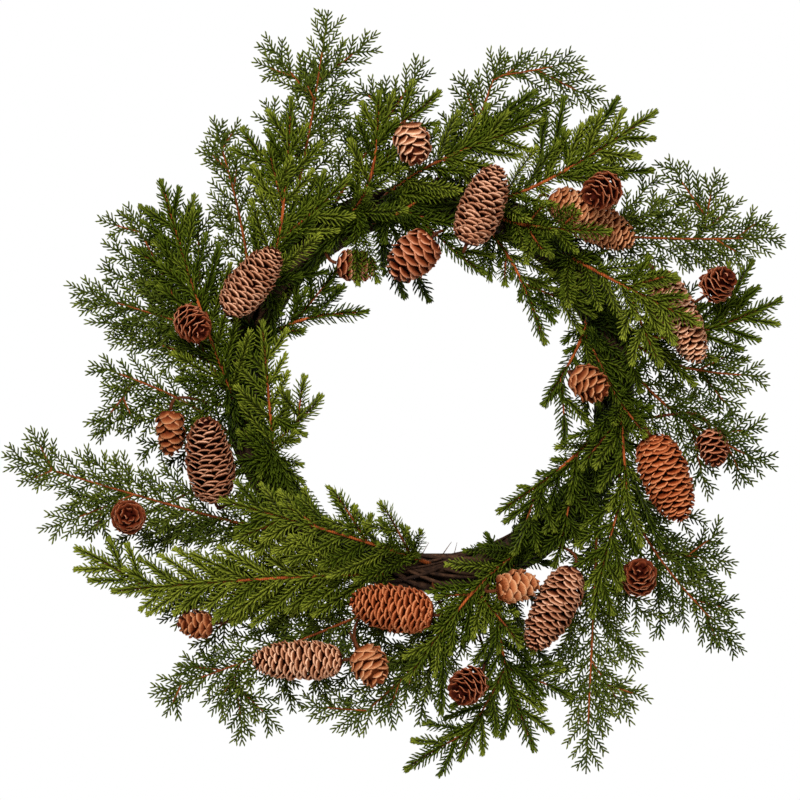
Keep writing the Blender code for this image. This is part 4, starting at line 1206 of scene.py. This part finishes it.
def spruce_comb(shape, shoot, draw, size, rows=len(SPRUCE_ROWS)):
    """Needles in rows round a shoot, forward at its tip, with a bare front where asked."""
    along = np.arange(shoot.bare, shoot.length + SPRUCE_STEP, SPRUCE_STEP)
    row = np.tile(np.arange(rows), len(along))
    along = np.repeat(along, rows) + (row % 2) * SPRUCE_STEP / 2
    bare = (along > shoot.bare_front[0]) & (along < shoot.bare_front[1]) & (abs(row - 2.5) < 1)
    bare &= draw.uniform(0, 1, len(row)) < 0.92
    along, row = along[~bare], row[~bare]
    points, headings, fronts, laterals = shoot.read(along)
    angle = np.radians(np.array(SPRUCE_ROWS)[row] + draw.uniform(-13, 13, len(row)))
    side = fronts * np.cos(angle)[:, None] + laterals * np.sin(angle)[:, None]
    left = np.clip((shoot.length - along) / SPRUCE_BUD, 0, 1)
    lean = np.radians(np.array(SPRUCE_LEANS)[row] * (0.4 + 0.6 * left) + draw.uniform(-8, 8, len(row)))
    ways = unit(headings * np.cos(lean)[:, None] + side * np.sin(lean)[:, None])
    bows = unit(side - ways * (side * ways).sum(1)[:, None])
    start = np.clip((along - shoot.bare) / SPRUCE_START, 0, 1)
    lengths = size * draw.uniform(0.84, 1.10, len(row)) * (0.72 + 0.28 * left) * (0.75 + 0.25 * start)
    # Painted light and shade: needles that face the front and stand further forward are lighter, those
    # deeper towards the ring darker
    forward = np.clip(-points[:, 1] / PAINTED_SHADE_DEPTH - 1, -1, 1)
    age_and_painted_shade = shoot.age_and_painted_shade + 0.16 * (1 - left) + 0.08 * (side @ FRONT_AXIS) + 0.13 * forward - 0.05
    for sections, some in (((0.12, 0.82), row < 4), ((0.5,), row > 3)):
        add_needles(shape, draw, points[some], ways[some], bows[some], fronts[some], lengths[some],
                    SPRUCE_WIDTH, sections, age_and_painted_shade[some])


def ring_shoots(pick, stem, draw, age_and_painted_shade):
    """Shoots that lie over the ring's front from a pick's root, halfway to the roots on both sides."""
    roots = sorted((plan[1], plan[0]) for plan in PICKS if plan[0].startswith("spruce"))
    place = roots.index((pick.clock, pick.name))
    before = (pick.clock - roots[place - 1][0]) % 360
    after = (roots[(place + 1) % len(roots)][0] - pick.clock) % 360
    hand = 1
    for clock in np.arange(pick.clock - before / 2, pick.clock + after / 2, RING_COVER_STEP):
        if BARE_RING[0] < clock % 360 < BARE_RING[1]:
            continue
        along = draw.uniform(*RING_COVER_START)
        point = stem.read(np.array([along]))[0][0]
        hand = -hand
        reach = RING_REACH + 2 + hand * draw.uniform(*RING_COVER_ASIDE)
        aim = np.array(on_wreath(clock, reach, RING_TUBE + 6))
        length = np.linalg.norm(aim - point) + 12
        # Painted shade: the shoots over the ring lie deep and are made darker
        shoot = side_shoot(stem, along, unit(aim - point), length, 0.9, age_and_painted_shade - 0.2, 2.0, 0.0)
        if shoot:
            yield shoot


def grow_spruce(pick, number):
    """Makes one spruce spray, with the shoots at its root that lie over the ring."""
    shape = Shape()
    draw = np.random.default_rng(200 + number)
    age_and_painted_shade = SPRUCE_YOUNG.get(pick.name[-2:], SPRUCE_COMMON_YOUNG) + draw.uniform(-0.06, 0.06)
    for order, stem in enumerate(stem_shoots(pick, draw, age_and_painted_shade, SPRUCE_BARE_FRONT)):
        add_stem(shape, stem, 7, PAPER, 0.85 if order == 0 else 0.6)
        spruce_comb(shape, stem, draw, SPRUCE_LENGTH)
        shoots = list(fork_shoots(stem, draw, SPRUCE_SHOOTS, stem.bare + SPRUCE_SHOOTS["start"], age_and_painted_shade))
        for shoot in shoots:
            add_stem(shape, shoot, 4, GREEN, 0.5)
            spruce_comb(shape, shoot, draw, SPRUCE_LENGTH * draw.uniform(0.80, 1.0))
        if order == 0:
            for shoot in single_shoots(pick, stem, age_and_painted_shade - 0.1):
                add_stem(shape, shoot, 4, GREEN, 0.5)
                spruce_comb(shape, shoot, draw, SPRUCE_LENGTH)
            for shoot in ring_shoots(pick, stem, draw, age_and_painted_shade):
                add_stem(shape, shoot, 4, GREEN, 0.5)
                spruce_comb(shape, shoot, draw, SPRUCE_LENGTH, 4)
    shape.make("spruce_spray_" + pick.name[-2:], [paper, spruce_needles, green_shoot], pick.name)


for number, pick in enumerate(picks):
    if pick.kind == "spruce":
        grow_spruce(pick, number)

# Floor, light and camera
# A pale floor well below the wreath, in a studio that looks white and lights it softly. A large
# soft key lamp stands at the upper left, a weaker one at the right, and two behind the wreath, which
# edge the foliage with light. A long lens looks square at the wreath's face. Lengths are in metres.
FLOOR_DROP = 1.15
FLOOR_REACH = 12.0
FLOOR_BEHIND = 5.5
STUDIO_LIGHT = 0.17
LAMP_AIM = Vector((0, 0, -0.13))
# Name, place, size and power of each lamp
LAMPS = (
    ("key_lamp", (-0.5, -2.1, 1.2), 0.8, 88.0), ("fill_lamp", (1.3, -1.9, 0.2), 1.2, 24.0),
    ("left_back_lamp", (-1.7, 1.7, 0.9), 1.6, 30.0), ("right_back_lamp", (1.7, 1.7, 0.9), 1.6, 30.0),
)
# The width that the camera sees at the foliage's depth, and the place it looks at, right and up
FRAME_WIDTH = 0.62
CAMERA_DISTANCE = 3.2
FOLIAGE_DEPTH = 0.03
CAMERA_AIM = (-0.02325, -0.1393)
SENSOR_WIDTH = 36.0

floor_mesh = bpy.data.meshes.new("floor")
floor_mesh.from_pydata([(-FLOOR_REACH, -FLOOR_REACH, -FLOOR_DROP), (FLOOR_REACH, -FLOOR_REACH, -FLOOR_DROP),
                        (FLOOR_REACH, FLOOR_BEHIND, -FLOOR_DROP), (-FLOOR_REACH, FLOOR_BEHIND, -FLOOR_DROP)],
                       [], [(0, 1, 2, 3)])
floor_finish = Finish("pale_floor", 0.8)
floor_finish.colour(floor_finish.ramp(floor_finish.noise(3), (
    (0.0, (0.80, 0.80, 0.79)), (1.0, (0.86, 0.86, 0.85)))))
floor_mesh.materials.append(floor_finish.material)
floor = bpy.data.objects.new("floor", floor_mesh)
bpy.context.scene.collection.objects.link(floor)

# The studio is white where the camera sees it, and lights the wreath less brightly than that
world = bpy.data.worlds.new("white_studio")
bpy.context.scene.world = world
world.use_nodes = True
sky = world.node_tree
seen = sky.nodes["Background"]
lit = sky.nodes.new("ShaderNodeBackground")
for background in (seen, lit):
    background.inputs["Color"].default_value = (1, 1, 1, 1)
lit.inputs["Strength"].default_value = STUDIO_LIGHT
mixed = sky.nodes.new("ShaderNodeMixShader")
sky.links.new(sky.nodes.new("ShaderNodeLightPath").outputs["Is Camera Ray"], mixed.inputs[0])
sky.links.new(lit.outputs[0], mixed.inputs[1])
sky.links.new(seen.outputs[0], mixed.inputs[2])
sky.links.new(mixed.outputs[0], sky.nodes["World Output"].inputs["Surface"])
bpy.context.scene.view_settings.view_transform = "Standard"

for name, place, size, power in LAMPS:
    lamp = bpy.data.objects.new(name, bpy.data.lights.new(name, "AREA"))
    lamp.data.size = size
    lamp.data.energy = power
    lamp.location = place
    lamp.rotation_euler = (LAMP_AIM - lamp.location).to_track_quat("-Z", "Y").to_euler()
    bpy.context.scene.collection.objects.link(lamp)

camera = bpy.data.objects.new("camera", bpy.data.cameras.new("camera"))
camera.data.sensor_width = SENSOR_WIDTH
camera.data.lens = SENSOR_WIDTH * (CAMERA_DISTANCE - FOLIAGE_DEPTH) / FRAME_WIDTH
camera.location = (CAMERA_AIM[0], -CAMERA_DISTANCE, CAMERA_AIM[1])
camera.rotation_euler = (math.radians(90), 0, 0)
bpy.context.scene.collection.objects.link(camera)
bpy.context.scene.camera = camera
